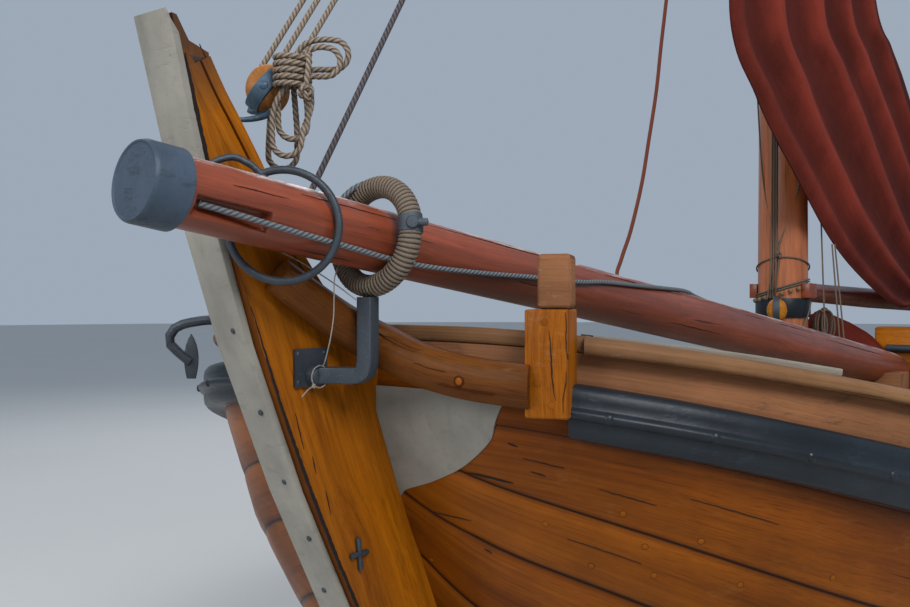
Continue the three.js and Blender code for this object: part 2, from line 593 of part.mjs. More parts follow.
// Fall of the tackle, made up in a hank that hangs against the block, its heads laid to one side.
const HANK = { s: 60, p: 94, z: 3110, radius: 50, run: 230, thick: 52, head: 42 };
const stadium = (u0, v0, u1, v1, r) => {
  const turn = Math.atan2(v1 - v0, u1 - u0);
  const shape = new THREE.Shape();
  shape.absarc(u1, v1, r, turn - Math.PI / 2, turn + Math.PI / 2);
  shape.absarc(u0, v0, r, turn + Math.PI / 2, turn + 1.5 * Math.PI);
  return shape;
};
const hankCentre = at(HANK.s, HANK.p, HANK.z);
const hankFall = stadium(0, -HANK.run / 2, 0, HANK.run / 2, HANK.radius);
const hankHeads = stadium(20, 122, 122, 112, HANK.head);
add("rope_hank", cut(join(
  overBow(hankFall, HANK.thick, hankCentre), overBow(hankHeads, HANK.thick - 6, hankCentre),
), blockShell(GAP), blockHook(GAP)), ROPE);

// Anchor on the starboard bow: the shank on the deck, one arm over the rail with its palm outside.
const ANCHOR = { bar: 33, shank: 30, crown: [700, -600, 2466], ring_end: [1500, -480, 2336] };
const leaf = new THREE.Shape();
leaf.moveTo(0, 80);
leaf.quadraticCurveTo(38, 20, 14, -70);
leaf.lineTo(-14, -70);
leaf.quadraticCurveTo(-38, 20, 0, 80);
add("anchor", cut(join(
  bar([
    at(900, -330, 2444), at(800, -480, 2458), at(...ANCHOR.crown), at(600, -655, 2522),
    at(535, -690, 2537), at(470, -712, 2545), at(420, -718, 2544), at(365, -786, 2520),
    at(352, -804, 2476), at(372, -778, 2437), at(397, -746, 2405),
  ], ANCHOR.bar, ANCHOR.bar, 30, true),
  rod(at(...ANCHOR.crown), at(...ANCHOR.ring_end), ANCHOR.shank / 2, 12),
  overBow(leaf, 10, at(398, -745, 2420)),
), deckBody, capRails[1].clone().translate(0, 0, GAP)), IRON);

// Main rig: boom with jaws, gaff, sail and the part of the sail gathered on the boom.
const jaws = (z, inner, depth, height) => {
  const full = collar(z - height / 2, z + height / 2, inner, inner + depth);
  return cut(full, block(MID - MAST.s + 60, MID - MAST.s + 400, -400, 400, z - 300, z + 300));
};
const boomA = at(MAST.s + MAST.deck_r + 18, 0, RIG.boom_z);
const boomB = at(RIG.boom_end_s, 0, RIG.boom_end_z);
add("boom", join(
  turned([[0, 52], [1500, 68], [4000, 70], [boomA.distanceTo(boomB), 50]], boomA, boomB, 16),
  jaws(RIG.boom_z, MAST.deck_r + 6, 40, 80),
), SPAR);
const gaffA = at(MAST.s + 165, 0, RIG.gaff_z);
const gaffB = at(5450, 0, 9900);
add("gaff", join(
  turned([[0, 48], [900, 60], [gaffA.distanceTo(gaffB), 36]], gaffA, gaffB, 14),
  jaws(RIG.gaff_z, 112, 52, 70),
), SPAR);
const SAIL = [ // edge forward: s, p, z; edge aft: s, p, z; thickness
  [4128.5, 0, 7767, 5190, 0, 9391, 50],
  [3990, 195, 7150, 5060, 120, 7900, 90],
  [3700, 240, 6700, 4860, 180, 7100, 100],
  [3400, 245, 6300, 4680, 200, 6500, 110],
  [2850, 265, 5050, 4650, 230, 5500, 130],
  [2530, 265, 3940, 4890, 250, 4490, 140],
  [2890, 265, 3550, 5260, 250, 4270, 140],
  [3430, 265, 3225, 5630, 250, 4050, 140],
  [4280, 250, 2840, 6250, 230, 3660, 130],
  [5630, 190, 2560, 7150, 150, 3150, 100],
  [6700, 120, 2650, 7330, 80, 2920, 80],
  [7300, 0, 2643, 7480, 0, 2860, 60],
];
add("mainsail", loft(SAIL.map(([s0, p0, z0, s1, p1, z1, thick]) => {
  const shares = [0, 0.2, 0.5, 0.8, 1];
  const row = (side) => shares.map((t) =>
    at(lerp(s0, s1, t), lerp(p0, p1, t) + side * (thick / 2) * (0.25 + 0.75 * Math.sin(Math.PI * t)),
      lerp(z0, z1, t)));
  return [...row(1), ...row(-1).reverse()];
})), CANVAS);
// Lowered foresail, gathered in a bundle between the mast and the bitt.
const BUNDLE = [ // p, s, half width, top
  [30, 4215, 50, 2480], [60, 4212, 80, 2560], [110, 4210, 92, 2584], [250, 4210, 96, 2510],
  [375, 4212, 92, 2425], [450, 4214, 84, 2350], [500, 4216, 60, 2290],
];
const BUNDLE_SECTION = [[-0.8, 0], [-0.95, 0.3], [-1, 0.7], [-0.75, 0.9], [-0.3, 1], [0.3, 1],
  [0.75, 0.9], [1, 0.7], [0.95, 0.3], [0.8, 0]];
add("sail_bundle", cut(loft(BUNDLE.map(([p, s, w, top]) =>
  BUNDLE_SECTION.map(([u, v]) => at(s + u * w, p, lerp(1900, top, v))))), deckBody), CANVAS);

// Leeboards on their pins.
for (const [side, name] of [[1, "port"], [-1, "starboard"]]) {
  const [a, c] = [Math.cos(deg(LEEBOARD.droop)), Math.sin(deg(LEEBOARD.droop))];
  const local = [ // along the board, across the board
    [-190, 120], [-205, -60], [-150, -150], [300, -215], [1500, -330], [2900, -420], [3260, -330],
    [3330, 0], [3230, 300], [2900, 390], [1500, 270], [300, 190], [-100, 160],
  ];
  const outline = local.map(([u, v]) => [LEEBOARD.s + u * a + v * c, LEEBOARD.z - u * c + v * a]);
  const [y0, y1] = side > 0
    ? [LEEBOARD.inner, LEEBOARD.inner + LEEBOARD.thick]
    : [-LEEBOARD.inner - LEEBOARD.thick, -LEEBOARD.inner];
  const pinHole = rod(at(LEEBOARD.s, y0 - 10, LEEBOARD.z), at(LEEBOARD.s, y1 + 10, LEEBOARD.z), 26, 16);
  add(`${name}_leeboard`, cut(sidePlate(outline, y0, y1), pinHole), VARNISH);
  const face = offset(RAIL, WALE_PROUD + 14);
  const wale = Math.max(...[-60, 0, 60].map((d) => halfAt(face, LEEBOARD.s + d))) - 1 + GAP;
  add(`${name}_leeboard_pin`, turned([
    [0, 58], [LEEBOARD.inner - 0.5 - wale - 1, 58], [LEEBOARD.inner - 0.5 - wale - 1, 25],
    [LEEBOARD.inner + LEEBOARD.thick + 0.5 - wale - 1, 25],
    [LEEBOARD.inner + LEEBOARD.thick + 0.5 - wale - 1, 50],
    [LEEBOARD.inner + LEEBOARD.thick + 24 - wale, 44],
  ], at(LEEBOARD.s, side * (wale + 1), LEEBOARD.z), at(LEEBOARD.s, side * 3000, LEEBOARD.z), 16),
  IRON);
}

// Rudder, in the frame of its raked axis: x forward, z up along the rod.
const steer = new THREE.Group();
steer.position.set(MID - RUDDER.s, 0, RUDDER.z);
steer.rotation.y = -deg(RUDDER.rake);
group.add(steer);
const addSteer = (name, geometry, material) => {
  const mesh = new THREE.Mesh(geometry, material);
  mesh.name = name;
  steer.add(mesh);
};
const plate = (outline, y0, y1) => {
  const shape = new THREE.Shape(outline.map(([x, z]) => new THREE.Vector2(x, z)));
  return new THREE.ExtrudeGeometry(shape, { depth: y1 - y0, bevelEnabled: false })
    .rotateX(Math.PI / 2).translate(0, y1, 0);
};
addSteer("rudder_blade", plate([
  [RUDDER.front, 90], [RUDDER.front, 2420], [-330, 2450], [-360, 2250], [-300, 1700],
  [-420, 1150], [-760, 500], [-790, 230], [-700, 130],
], -38, 38), VARNISH);
const HINGES = [[420, "low"], [1650, "top"]];
addSteer("rudder_rod", rod(V(0, 0, 250), V(0, 0, 1960), RUDDER.rod_r, 12), IRON);
for (const [z, name] of HINGES) {
  const eye = (z0, z1) => cut(rod(V(0, 0, z0), V(0, 0, z1), RUDDER.eye_r, 16),
    rod(V(0, 0, z0 - 5), V(0, 0, z1 + 5), RUDDER.hole_r, 12));
  const fork = (x0, x1, x2, half, z0, z1) => cut(
    block(x0, x1, -half - 10, half + 10, z0, z1),
    block(x0 < 0 ? x0 - 10 : x2, x0 < 0 ? x2 : x1 + 10, -half - GAP, half + GAP, z0 - 5, z1 + 5),
  );
  addSteer(`rudder_strap_${name}`, join(
    eye(z, z + 70), fork(-420, -18, RUDDER.front + GAP, 38, z, z + 70),
  ), IRON);
  addSteer(`gudgeon_${name}`, join(
    eye(z - 72, z - GAP), fork(18, 170, RUDDER.post - GAP, POST_HALF, z - 72, z - GAP),
  ), IRON);
}
addSteer("tiller", cut(
  timber([V(-300, 0, 2310), V(140, 0, 2308), V(900, 0, 2262), V(1900, 0, 2150)], 70, 84, 12),
  block(-600, RUDDER.front + GAP, -38 - GAP, 38 + GAP, 1900, 2700),
), VARNISH);

// Mainsheet horse over the after deck.
const capTop = (s) => table(RAIL.map(([q]) => [q, railTop(q)]), s)[0];
const horseS = 11200;
const horseHalf = halfAt(offset(RAIL, -30), horseS);
const horseTop = railTop(horseS) + 90;
const horseFoot = (side) => block(MID - horseS + 50, MID - horseS - 50,
  side * horseHalf - 26, side * horseHalf + 26, capTop(horseS + 70), railTop(horseS) + 30);
add("mainsheet_horse", join(bar([
  at(horseS, -horseHalf, railTop(horseS) + 26), at(horseS, -horseHalf + 30, horseTop),
  at(horseS, horseHalf - 30, horseTop), at(horseS, horseHalf, railTop(horseS) + 26),
], 30, 30, 16, true), horseFoot(1), horseFoot(-1)), IRON);

export default group;
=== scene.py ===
"""Looks of a flat-bottomed wooden sailboat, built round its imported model.

All sizes are metres in the model's own frame: +X to the bow, +Y to port, +Z up, z = 0 under the
flat bottom. Stations s run aft from the stem, so x = MID - s, and p is the distance to port.
"""

import json
import math
from functools import cached_property

import bmesh
import bpy
from bpy.props import FloatProperty, FloatVectorProperty, IntProperty, PointerProperty
from mathutils import Matrix, Vector, noise
from mathutils.bvhtree import BVHTree


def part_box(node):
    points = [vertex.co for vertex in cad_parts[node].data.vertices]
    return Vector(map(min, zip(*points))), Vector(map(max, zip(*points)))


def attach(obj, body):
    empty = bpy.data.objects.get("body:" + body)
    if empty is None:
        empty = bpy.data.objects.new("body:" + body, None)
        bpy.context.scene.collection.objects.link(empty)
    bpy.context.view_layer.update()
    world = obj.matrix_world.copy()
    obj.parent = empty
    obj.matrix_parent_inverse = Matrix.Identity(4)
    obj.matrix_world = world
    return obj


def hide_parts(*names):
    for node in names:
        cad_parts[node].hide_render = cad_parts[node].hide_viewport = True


bl_info = {
    "name": "Wooden Sailboat",
    "version": (1, 0, 0),
    "blender": (4, 5, 0),
    "location": "View3D > Sidebar > Sailboat",
    "description": "Builds the planking, spars, sail, ropes and finishes of a wooden sailboat",
    "category": "Add Mesh",
}

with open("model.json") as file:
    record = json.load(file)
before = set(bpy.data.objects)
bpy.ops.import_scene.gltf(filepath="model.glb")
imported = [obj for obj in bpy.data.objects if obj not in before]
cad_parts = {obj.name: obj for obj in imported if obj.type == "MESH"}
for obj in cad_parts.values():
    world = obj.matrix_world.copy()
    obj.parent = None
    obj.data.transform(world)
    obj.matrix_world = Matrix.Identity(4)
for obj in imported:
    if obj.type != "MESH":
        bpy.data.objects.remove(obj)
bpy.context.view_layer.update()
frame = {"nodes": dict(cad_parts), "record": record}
NODES = frame["nodes"]

MID = 6.355  # station of the frame's origin
WATERLINE = 0.75
FLOOR_REACH = 70.0
MAX_BEAM_S = 6.3  # station of the greatest beam
GAP = 0.0003  # air between two planks
STRANDS = 3
ROPE_LAY = 3.2  # diameters along a rope to one turn of a strand
DECK_PLANK = 0.11
CLOTH_WIDTH = 0.62  # of one strip of sailcloth

UP = Vector((0, 0, 1))
PORT = Vector((0, 1, 0))
AHEAD = Vector((1, 0, 0))


def lerp(a, b, t):
    return a + (b - a) * t


def at(s, p, z):
    return Vector((MID - s, p, z))


def spots_at(rows):
    """Points of rows of [station, distance to port, height]."""
    return [at(*q) for q in rows]


def around(rows, x):
    """The two rows whose first values lie round x."""
    k = 1
    while k < len(rows) - 1 and rows[k][0] < x:
        k += 1
    return rows[k - 1], rows[k]


def table(rows, x):
    """Values of the columns after the first, interpolated over the first."""
    a, b = around(rows, x)
    t = min(1.0, max(0.0, (x - a[0]) / (b[0] - a[0])))
    return [lerp(v, w, t) for v, w in zip(a[1:], b[1:])]


# Settings


def tone(code):
    """Linear colour of a hexadecimal one."""
    parts = [int(code[k : k + 2], 16) / 255 for k in (0, 2, 4)]
    return [c / 12.92 if c < 0.04045 else ((c + 0.055) / 1.055) ** 2.4 for c in parts]


def colour(name, code, description):
    return FloatVectorProperty(
        name=name, description=description, subtype="COLOR", size=3, min=0, max=1, default=tone(code)
    )


def length(name, default, description):
    return FloatProperty(name=name, description=description, default=default, unit="LENGTH")


class SailboatColours(bpy.types.PropertyGroup):
    """Colours of the boat's finishes."""

    oak: colour("Oak", "a9620c", "Oiled oak of the planking and the stem")
    oak_dark: colour("Dark oak", "522403", "Dark streaks in the oiled oak")
    rail: colour("Rail", "8f6040", "Weathered brown oak of bulwark and rails")
    spar: colour("Spar", "96462a", "Red-brown varnish of the spars")
    mast: colour("Mast", "c87446", "Varnish of the mast")
    tar: colour("Tar", "1a2026", "Black paint of the wale and the bottom")
    paint: colour("White paint", "8e8a80", "Grey-white paint of facing and bow plate")
    iron: colour("Iron", "3c434b", "Painted iron fittings")
    rope: colour("Rope", "8a7b6c", "Natural rope")
    canvas: colour("Canvas", "7c2f22", "Tanned sailcloth")
    deck: colour("Deck", "8d8579", "Bare deck planks")
    floor: colour("Floor", "c4c4c2", "Floor at the waterline")


class SailboatSizes(bpy.types.PropertyGroup):
    """Sizes of the boat's details."""

    seam: length("Seam depth", 0.0035, "Depth of the seams between planks")
    rope: length("Tackle rope", 0.016, "Diameter of the tackle's rope")
    lashing: length("Lashing", 0.009, "Diameter of the lashing lines")
    outhaul: length("Outhaul", 0.015, "Diameter of the rope along the bowsprit")
    serving: IntProperty(
        name="Serving turns", description="Turns of line round the served ring", default=76, min=20
    )
    bolts: length("Bolt spacing", 0.27, "Spacing of the bolts along the wale")


# Shader nodes


class Nodes:
    """Adds shader nodes to one tree and joins them."""

    def __init__(self, tree):
        self.tree = tree

    def add(self, kind, inputs=None, **settings):
        node = self.tree.nodes.new("ShaderNode" + kind)
        for key, value in settings.items():
            setattr(node, key, value)
        for key, value in (inputs or {}).items():
            self.put(node.inputs[key], value)
        return node

    def put(self, socket, value):
        if isinstance(value, bpy.types.NodeSocket):
            self.tree.links.new(value, socket)
        else:
            socket.default_value = value

    def math(self, operation, a, b=0.0):
        return self.add("Math", {0: a, 1: b}, operation=operation).outputs[0]

    def plus(self, a, b):
        return self.math("ADD", a, b)

    def minus(self, a, b):
        return self.math("SUBTRACT", a, b)

    def times(self, a, b):
        return self.math("MULTIPLY", a, b)

    def mix(self, factor, a, b):
        """Mix of two colours, each a socket or a plain colour."""
        node = self.add("Mix", {0: factor}, data_type="RGBA")
        for index, value in ((6, a), (7, b)):
            self.put(node.inputs[index], value if isinstance(value, bpy.types.NodeSocket) else rgba(value))
        return node.outputs[2]

    def stain(self, paint, mask, strength, tint):
        """Paint under a tint that lies where the mask is, with a strength from 0 to 1."""
        return self.mix(self.times(mask, strength), paint, tint)

    def spread(self, value, low, high, out_low=0.0, out_high=1.0):
        node = self.add("MapRange", {0: value, 1: low, 2: high, 3: out_low, 4: out_high})
        return node.outputs[0]

    def noise(self, vector, scale, detail=4.0, roughness=0.55, distortion=0.0):
        node = self.add("TexNoise", {"Vector": vector, "Scale": scale, "Detail": detail,
                                     "Roughness": roughness, "Distortion": distortion})
        return node.outputs["Fac"]

    def drawn_out(self, vector, scale, detail=4.0, roughness=0.55, location=(0, 0, 0), distortion=0.0):
        """Noise with a scale of its own along each axis."""
        moved = self.stretch(vector, scale, location)
        return self.noise(moved, 1.0, detail, roughness, distortion)

    def stretch(self, vector, scale, location=(0, 0, 0)):
        return self.add("Mapping", {"Vector": vector, "Scale": scale, "Location": location}).outputs[0]

    def axes(self, vector):
        return self.add("SeparateXYZ", {0: vector}).outputs

    def facing(self, axis):
        """How far the surface faces along an axis."""
        return self.axes(self.add("NewGeometry").outputs["Normal"])[axis]

    def groove(self):
        """Shade that the mesh carries: 1 at the bottom of its grooves."""
        return self.add("Attribute", attribute_name="groove").outputs["Fac"]

    def off_middle(self, value, width):
        """Distance from the middle of strips of a width, as a share of the width."""
        share = self.math("FRACT", self.math("DIVIDE", value, width))
        return self.math("ABSOLUTE", self.minus(share, 0.5))


def rgba(value):
    return (*value, 1.0)


def shade(value, factor):
    return tuple(min(1.0, c * factor) for c in value)


def group(name, inputs, outputs):
    """New node group with named sockets, numbers but for Vector; gives its nodes and its two ends."""
    tree = bpy.data.node_groups.new(name, "ShaderNodeTree")
    for side, keys in (("INPUT", inputs), ("OUTPUT", outputs)):
        for key in keys:
            kind = "NodeSocketVector" if key == "Vector" else "NodeSocketFloat"
            tree.interface.new_socket(key, in_out=side, socket_type=kind)
    start = tree.nodes.new("NodeGroupInput").outputs
    end = tree.nodes.new("NodeGroupOutput").inputs
    return Nodes(tree), start, end


def wood_grain_group():
    """Grain of a board; the vector is in metres with its first axis along the grain."""
    n, start, end = group("wood_grain", ["Vector"], ["Figure", "Pores", "Knots", "Checks", "Relief"])
    vector = start["Vector"]
    bend = n.drawn_out(vector, (0.9, 3.0, 3.0), 2.0)
    knot = n.add("TexVoronoi", {"Vector": n.stretch(vector, (1.0, 2.6, 2.6)), "Scale": 1.15})
    pick = n.spread(n.axes(knot.outputs["Color"])[0], 0.60, 0.62)
    near = n.times(n.spread(knot.outputs["Distance"], 0.02, 0.42, 1.0, 0.0), pick)
    shift = n.plus(n.times(bend, 0.10), n.times(near, 0.045))
    moved = n.add("VectorMath", {0: vector, 1: n.add("CombineXYZ", {1: shift, 2: shift}).outputs[0]},
                  operation="ADD").outputs[0]
    broad = n.drawn_out(moved, (0.55, 9.0, 9.0), 3.0, 0.5)
    lines = n.drawn_out(moved, (1.6, 60.0, 60.0), 5.0, 0.62)
    figure = n.plus(n.times(broad, 0.55), n.times(lines, 0.45))
    pores = n.drawn_out(moved, (14.0, 420.0, 420.0), 2.0, 0.5)
    tears = n.drawn_out(moved, (1.1, 48.0, 48.0), 3.0, 0.5, (3.1, 0.7, 0.0))
    checks = n.spread(tears, 0.71, 0.75)
    core = n.times(n.spread(knot.outputs["Distance"], 0.02, 0.075, 1.0, 0.0), pick)
    n.put(end["Figure"], n.spread(figure, 0.32, 0.68))
    n.put(end["Pores"], n.spread(pores, 0.52, 0.72))
    n.put(end["Knots"], core)
    n.put(end["Checks"], checks)
    relief = n.minus(n.times(figure, 0.5), n.times(checks, 0.8))
    n.put(end["Relief"], n.minus(relief, n.times(pores, 0.18)))
    return n.tree


def weather_group():
    """Uneven weathering: large patches, small specks and scuffs."""
    n, start, end = group("weather", ["Vector"], ["Patches", "Specks", "Scuffs"])
    vector = start["Vector"]
    n.put(end["Patches"], n.spread(n.noise(vector, 2.3, 5.0, 0.6), 0.35, 0.68))
    n.put(end["Specks"], n.spread(n.noise(vector, 95.0, 3.0, 0.7), 0.60, 0.70))
    scuffs = n.drawn_out(vector, (9.0, 9.0, 30.0), 6.0, 0.7)
    n.put(end["Scuffs"], n.spread(scuffs, 0.58, 0.70))
    return n.tree


def rope_lay_group():
    """Twisted strands; the vector holds metres along the rope and the share of a turn round it."""
    n, start, end = group("rope_lay", ["Vector", "Turns", "Strands"], ["Crown", "Fibre"])
    along, around, _ = n.axes(start["Vector"])
    turned = n.plus(n.times(along, start["Turns"]), n.times(around, start["Strands"]))
    wave = n.math("SINE", n.times(turned, 2 * math.pi))
    n.put(end["Crown"], n.spread(wave, -1.0, 0.6))
    spot = n.add("CombineXYZ", {0: n.times(turned, 6.0), 1: n.times(along, 40.0)}).outputs[0]
    n.put(end["Fibre"], n.noise(spot, 3.0, 3.0, 0.6))
    return n.tree


def shared(name):
    """The shared node group of that name, made when it is first used."""
    makers = {"wood_grain": wood_grain_group, "weather": weather_group, "rope_lay": rope_lay_group}
    return bpy.data.node_groups.get(name) or makers[name]()


class Surface(Nodes):
    """Nodes of one new material, with its Principled shader, its coordinates and its weathering."""

    def __init__(self, name, **constants):
        self.material = bpy.data.materials.new(name)
        self.material.use_nodes = True
        super().__init__(self.material.node_tree)
        self.shader = self.tree.nodes["Principled BSDF"].inputs
        for key, value in constants.items():
            self.shader[key.replace("_", " ").title().replace("Ior", "IOR")].default_value = value
        self.spot = self.add("TexCoord").outputs

    def use(self, name, **inputs):
        node = self.add("Group", node_tree=shared(name))
        for key, value in inputs.items():
            self.put(node.inputs[key], value)
        return node.outputs

    @cached_property
    def marks(self):
        return self.use("weather", Vector=self.spot["Object"])

    @cached_property
    def grain(self):
        return self.use("wood_grain", Vector=self.spot["UV"])

    def done(self, paint, height, relief, rough=None):
        """Gives the material its colour, its relief in metres and, if that varies, its roughness."""
        self.put(self.shader["Base Color"], paint)
        if rough:
            self.put(self.shader["Roughness"], self.spread(self.marks["Patches"], 0.0, 1.0, *rough))
        made = self.add("Bump", {"Height": height, "Distance": relief, "Strength": 1.0})
        self.put(self.shader["Normal"], made.outputs[0])
        return self.material


def wood(name, base, dark, light, coat, rough, worn=None, worn_share=0.0, seams=False):
    """Board wood along its UV map: figure, pores, knots, checks and patches of wear."""
    n = Surface(name, coat_weight=coat * 0.16, coat_roughness=0.3, specular_ior_level=0.08)
    spot, marks, grain = n.spot, n.marks, n.grain
    paint = n.mix(grain["Figure"], dark, base)
    streak = n.drawn_out(spot["UV"], (0.35, 4.5, 1.0), 2.0)
    paint = n.mix(n.spread(streak, 0.45, 0.72), paint, light)
    paint = n.stain(paint, grain["Pores"], 0.5, shade(dark, 0.45))
    paint = n.stain(paint, marks["Patches"], 0.5, dark)
    paint = n.stain(paint, grain["Knots"], 0.8, shade(dark, 0.25))
    paint = n.stain(paint, grain["Checks"], 0.85, shade(dark, 0.12))
    if worn:
        paint = n.stain(paint, marks["Scuffs"], worn_share, worn)
    if seams:
        soot = n.spread(n.plus(n.groove(), n.times(grain["Figure"], 0.2)), 0.25, 0.95)
        paint = n.stain(paint, soot, 0.93, shade(dark, 0.10))
    return n.done(paint, grain["Relief"], 0.0016, (rough, rough + 0.18))


def stem_wood(name, base, dark):
    """Oiled stem timber: golden on its sides, worn dark on its fore edge and grey at its head."""
    n = Surface(name, coat_weight=0.06, coat_roughness=0.3, specular_ior_level=0.08)
    spot, marks, grain = n.spot, n.marks, n.grain
    paint = n.mix(grain["Figure"], dark, base)
    paint = n.stain(paint, grain["Pores"], 0.5, shade(dark, 0.5))
    paint = n.stain(paint, marks["Patches"], 0.45, shade(base, 0.6))
    paint = n.stain(paint, n.groove(), 0.92, shade(dark, 0.08))
    paint = n.stain(paint, grain["Checks"], 0.85, shade(dark, 0.15))
    fore = n.spread(n.facing(0), 0.35, 0.6)
    rough_edge = n.times(fore, n.spread(marks["Patches"], 0.0, 1.0, 0.55, 0.95))
    paint = n.mix(rough_edge, paint, shade(dark, 0.45))
    high = n.plus(n.axes(spot["Object"])[2], n.times(marks["Patches"], 0.12))
    paint = n.mix(n.spread(high, 3.10, 3.26, 0.0, 0.85), paint, tone("3a2d26"))
    return n.done(paint, grain["Relief"], 0.0018, (0.34, 0.55))


def varnished_spar(name, base, chafe_and_highlight_share):
    """Varnished spar along its UV map; its upper side is painted light grey, partly real chafe and partly a
    painted highlight.
    """
    n = Surface(name, coat_weight=0.32, coat_roughness=0.2, specular_ior_level=0.3)
    spot, marks, grain = n.spot, n.marks, n.grain
    paint = n.mix(grain["Figure"], shade(base, 0.18), shade(base, 1.02))
    paint = n.stain(paint, grain["Pores"], 0.4, shade(base, 0.2))
    paint = n.stain(paint, marks["Patches"], 0.4, shade(base, 0.5))
    scratch = n.drawn_out(spot["UV"], (2.2, 95.0, 1.0), 2.0, location=(1.7, 0.4, 0))
    paint = n.mix(n.spread(scratch, 0.66, 0.72, 0.0, 0.85), paint, shade(base, 0.08))
    paint = n.stain(paint, grain["Checks"], 0.9, shade(base, 0.1))
    flakes = n.drawn_out(spot["UV"], (5.0, 26.0, 1.0), 7.0, 0.72)
    # Painted highlight and chafe: faces that point up turn light grey in flakes.
    top = n.spread(n.plus(n.facing(2), n.times(flakes, 1.1)), 1.36, 1.50)
    paint = n.stain(paint, top, chafe_and_highlight_share, (0.50, 0.45, 0.43))
    return n.done(paint, n.minus(grain["Relief"], n.times(top, 0.25)), 0.0016, (0.36, 0.55))


def painted(name, base, chip, rough, chips=0.5, relief=0.0008):
    """Brushed paint with specks, scuffs and chips down to what is under it."""
    n = Surface(name, coat_weight=0.04, coat_roughness=0.4, specular_ior_level=0.25)
    spot, marks = n.spot, n.marks
    paint = n.mix(marks["Patches"], shade(base, 0.7), shade(base, 1.15))
    streaks = n.drawn_out(spot["Object"], (14.0, 14.0, 2.2), 4.0, 0.6)
    paint = n.mix(n.spread(streaks, 0.5, 0.78, 0.0, 0.5), paint, shade(base, 0.5))
    paint = n.stain(paint, marks["Scuffs"], chips, chip)
    paint = n.stain(paint, marks["Specks"], 0.35, shade(base, 0.45))
    height = n.minus(n.noise(spot["Object"], 60.0, 4.0), marks["Scuffs"])
    return n.done(paint, height, relief, (rough, rough + 0.2))


def forged_iron(name, base, rust):
    """Forged iron, hammered, with worn paint and a little rust."""
    n = Surface(name, metallic=0.45)
    spot, marks = n.spot, n.marks
    paint = n.mix(marks["Patches"], shade(base, 0.5), shade(base, 1.4))
    paint = n.stain(paint, marks["Scuffs"], rust, (0.12, 0.05, 0.025))
    paint = n.stain(paint, marks["Specks"], 0.4, shade(base, 2.4))
    dents = n.plus(n.noise(spot["Object"], 38.0, 2.0), n.noise(spot["Object"], 240.0, 3.0))
    return n.done(paint, dents, 0.0011, (0.42, 0.7))


def laid_rope(name, base, lay):
    """Rope whose twisted strands follow its UV map, with painted shade between them; the lay is the length of
    one turn.
    """
    n = Surface(name, roughness=0.9, specular_ior_level=0.1)
    twist = n.use("rope_lay", Vector=n.spot["UV"], Turns=1 / lay * STRANDS, Strands=STRANDS)
    # Painted shade: dark between the strands, full colour on their crowns.
    paint = n.mix(twist["Crown"], shade(base, 0.16), base)
    paint = n.mix(n.spread(twist["Fibre"], 0.4, 0.7, 0.0, 0.5), paint, shade(base, 1.35))
    paint = n.stain(paint, n.marks["Patches"], 0.4, shade(base, 0.6))
    height = n.plus(twist["Crown"], n.times(twist["Fibre"], 0.35))
    return n.done(paint, height, 0.0022)


def served_line(name, base):
    """Small line wound close, with painted shade between its turns."""
    n = Surface(name, roughness=0.9, specular_ior_level=0.1)
    fibre = n.noise(n.spot["Object"], 420.0, 3.0, 0.7)
    paint = n.mix(n.spread(fibre, 0.35, 0.7), shade(base, 0.6), shade(base, 1.25))
    paint = n.stain(paint, n.marks["Patches"], 0.5, shade(base, 0.5))
    # Painted shade: near black in the hollows between the turns.
    paint = n.mix(n.spread(n.groove(), 0.25, 0.85, 0.0, 0.92), paint, shade(base, 0.06))
    return n.done(paint, fibre, 0.0008)


def canvas(name, base):
    """Tanned sailcloth: weave, panel seams, creases and faded patches along its UV map, with painted shade in
    the fold valleys and painted light on the fold crests.
    """
    n = Surface(name, roughness=0.85, specular_ior_level=0.12)
    uv, marks = n.spot["UV"], n.marks
    paint = n.mix(marks["Patches"], shade(base, 0.55), shade(base, 1.1))
    fade = n.drawn_out(uv, (1.3, 4.0, 1.0), 6.0, 0.65)
    paint = n.mix(n.spread(fade, 0.5, 0.75, 0.0, 0.5), paint, shade(base, 1.45))
    fold_shading = n.groove()
    # Painted shade in the fold valleys; painted light on the fold crests.
    paint = n.mix(n.spread(fold_shading, 0.25, 1.0, 0.0, 0.72), paint, shade(base, 0.22))
    paint = n.mix(n.spread(fold_shading, 0.0, 0.22, 0.4, 0.0), paint, shade(base, 1.5))
    seam = n.spread(n.off_middle(n.axes(uv)[1], CLOTH_WIDTH), 0.478, 0.484)
    paint = n.stain(paint, seam, 0.45, shade(base, 0.4))
    paint = n.stain(paint, marks["Specks"], 0.2, shade(base, 2.2))
    creases = n.drawn_out(uv, (1.6, 7.0, 1.0), distortion=0.4)
    weave = n.drawn_out(uv, (500.0, 900.0, 1.0), 2.0)
    height = n.plus(n.times(creases, 2.6), n.times(weave, 0.12))
    return n.done(paint, n.plus(height, n.times(seam, 0.3)), 0.004)


def deck_planks(name, base):
    """Bare planks in fore-and-aft rows with dark payed seams."""
    n = Surface(name, roughness=0.8)
    spot, marks, grain = n.spot, n.marks, n.grain
    paint = n.mix(grain["Figure"], shade(base, 0.55), base)
    paint = n.stain(paint, grain["Pores"], 0.5, shade(base, 0.3))
    paint = n.stain(paint, marks["Patches"], 0.35, shade(base, 0.7))
    seam = n.spread(n.off_middle(n.axes(spot["UV"])[1], DECK_PLANK), 0.47, 0.485)
    paint = n.mix(seam, paint, (0.02, 0.018, 0.016))
    return n.done(paint, n.minus(grain["Relief"], seam), 0.002)


def plain_floor(name, base):
    n = Surface(name, roughness=0.9)
    tint = n.noise(n.spot["Object"], 0.35, 3.0)
    n.put(n.shader["Base Color"], n.mix(tint, shade(base, 0.96), shade(base, 1.03)))
    return n.material


WORN_OAK = (0.30, 0.17, 0.08)


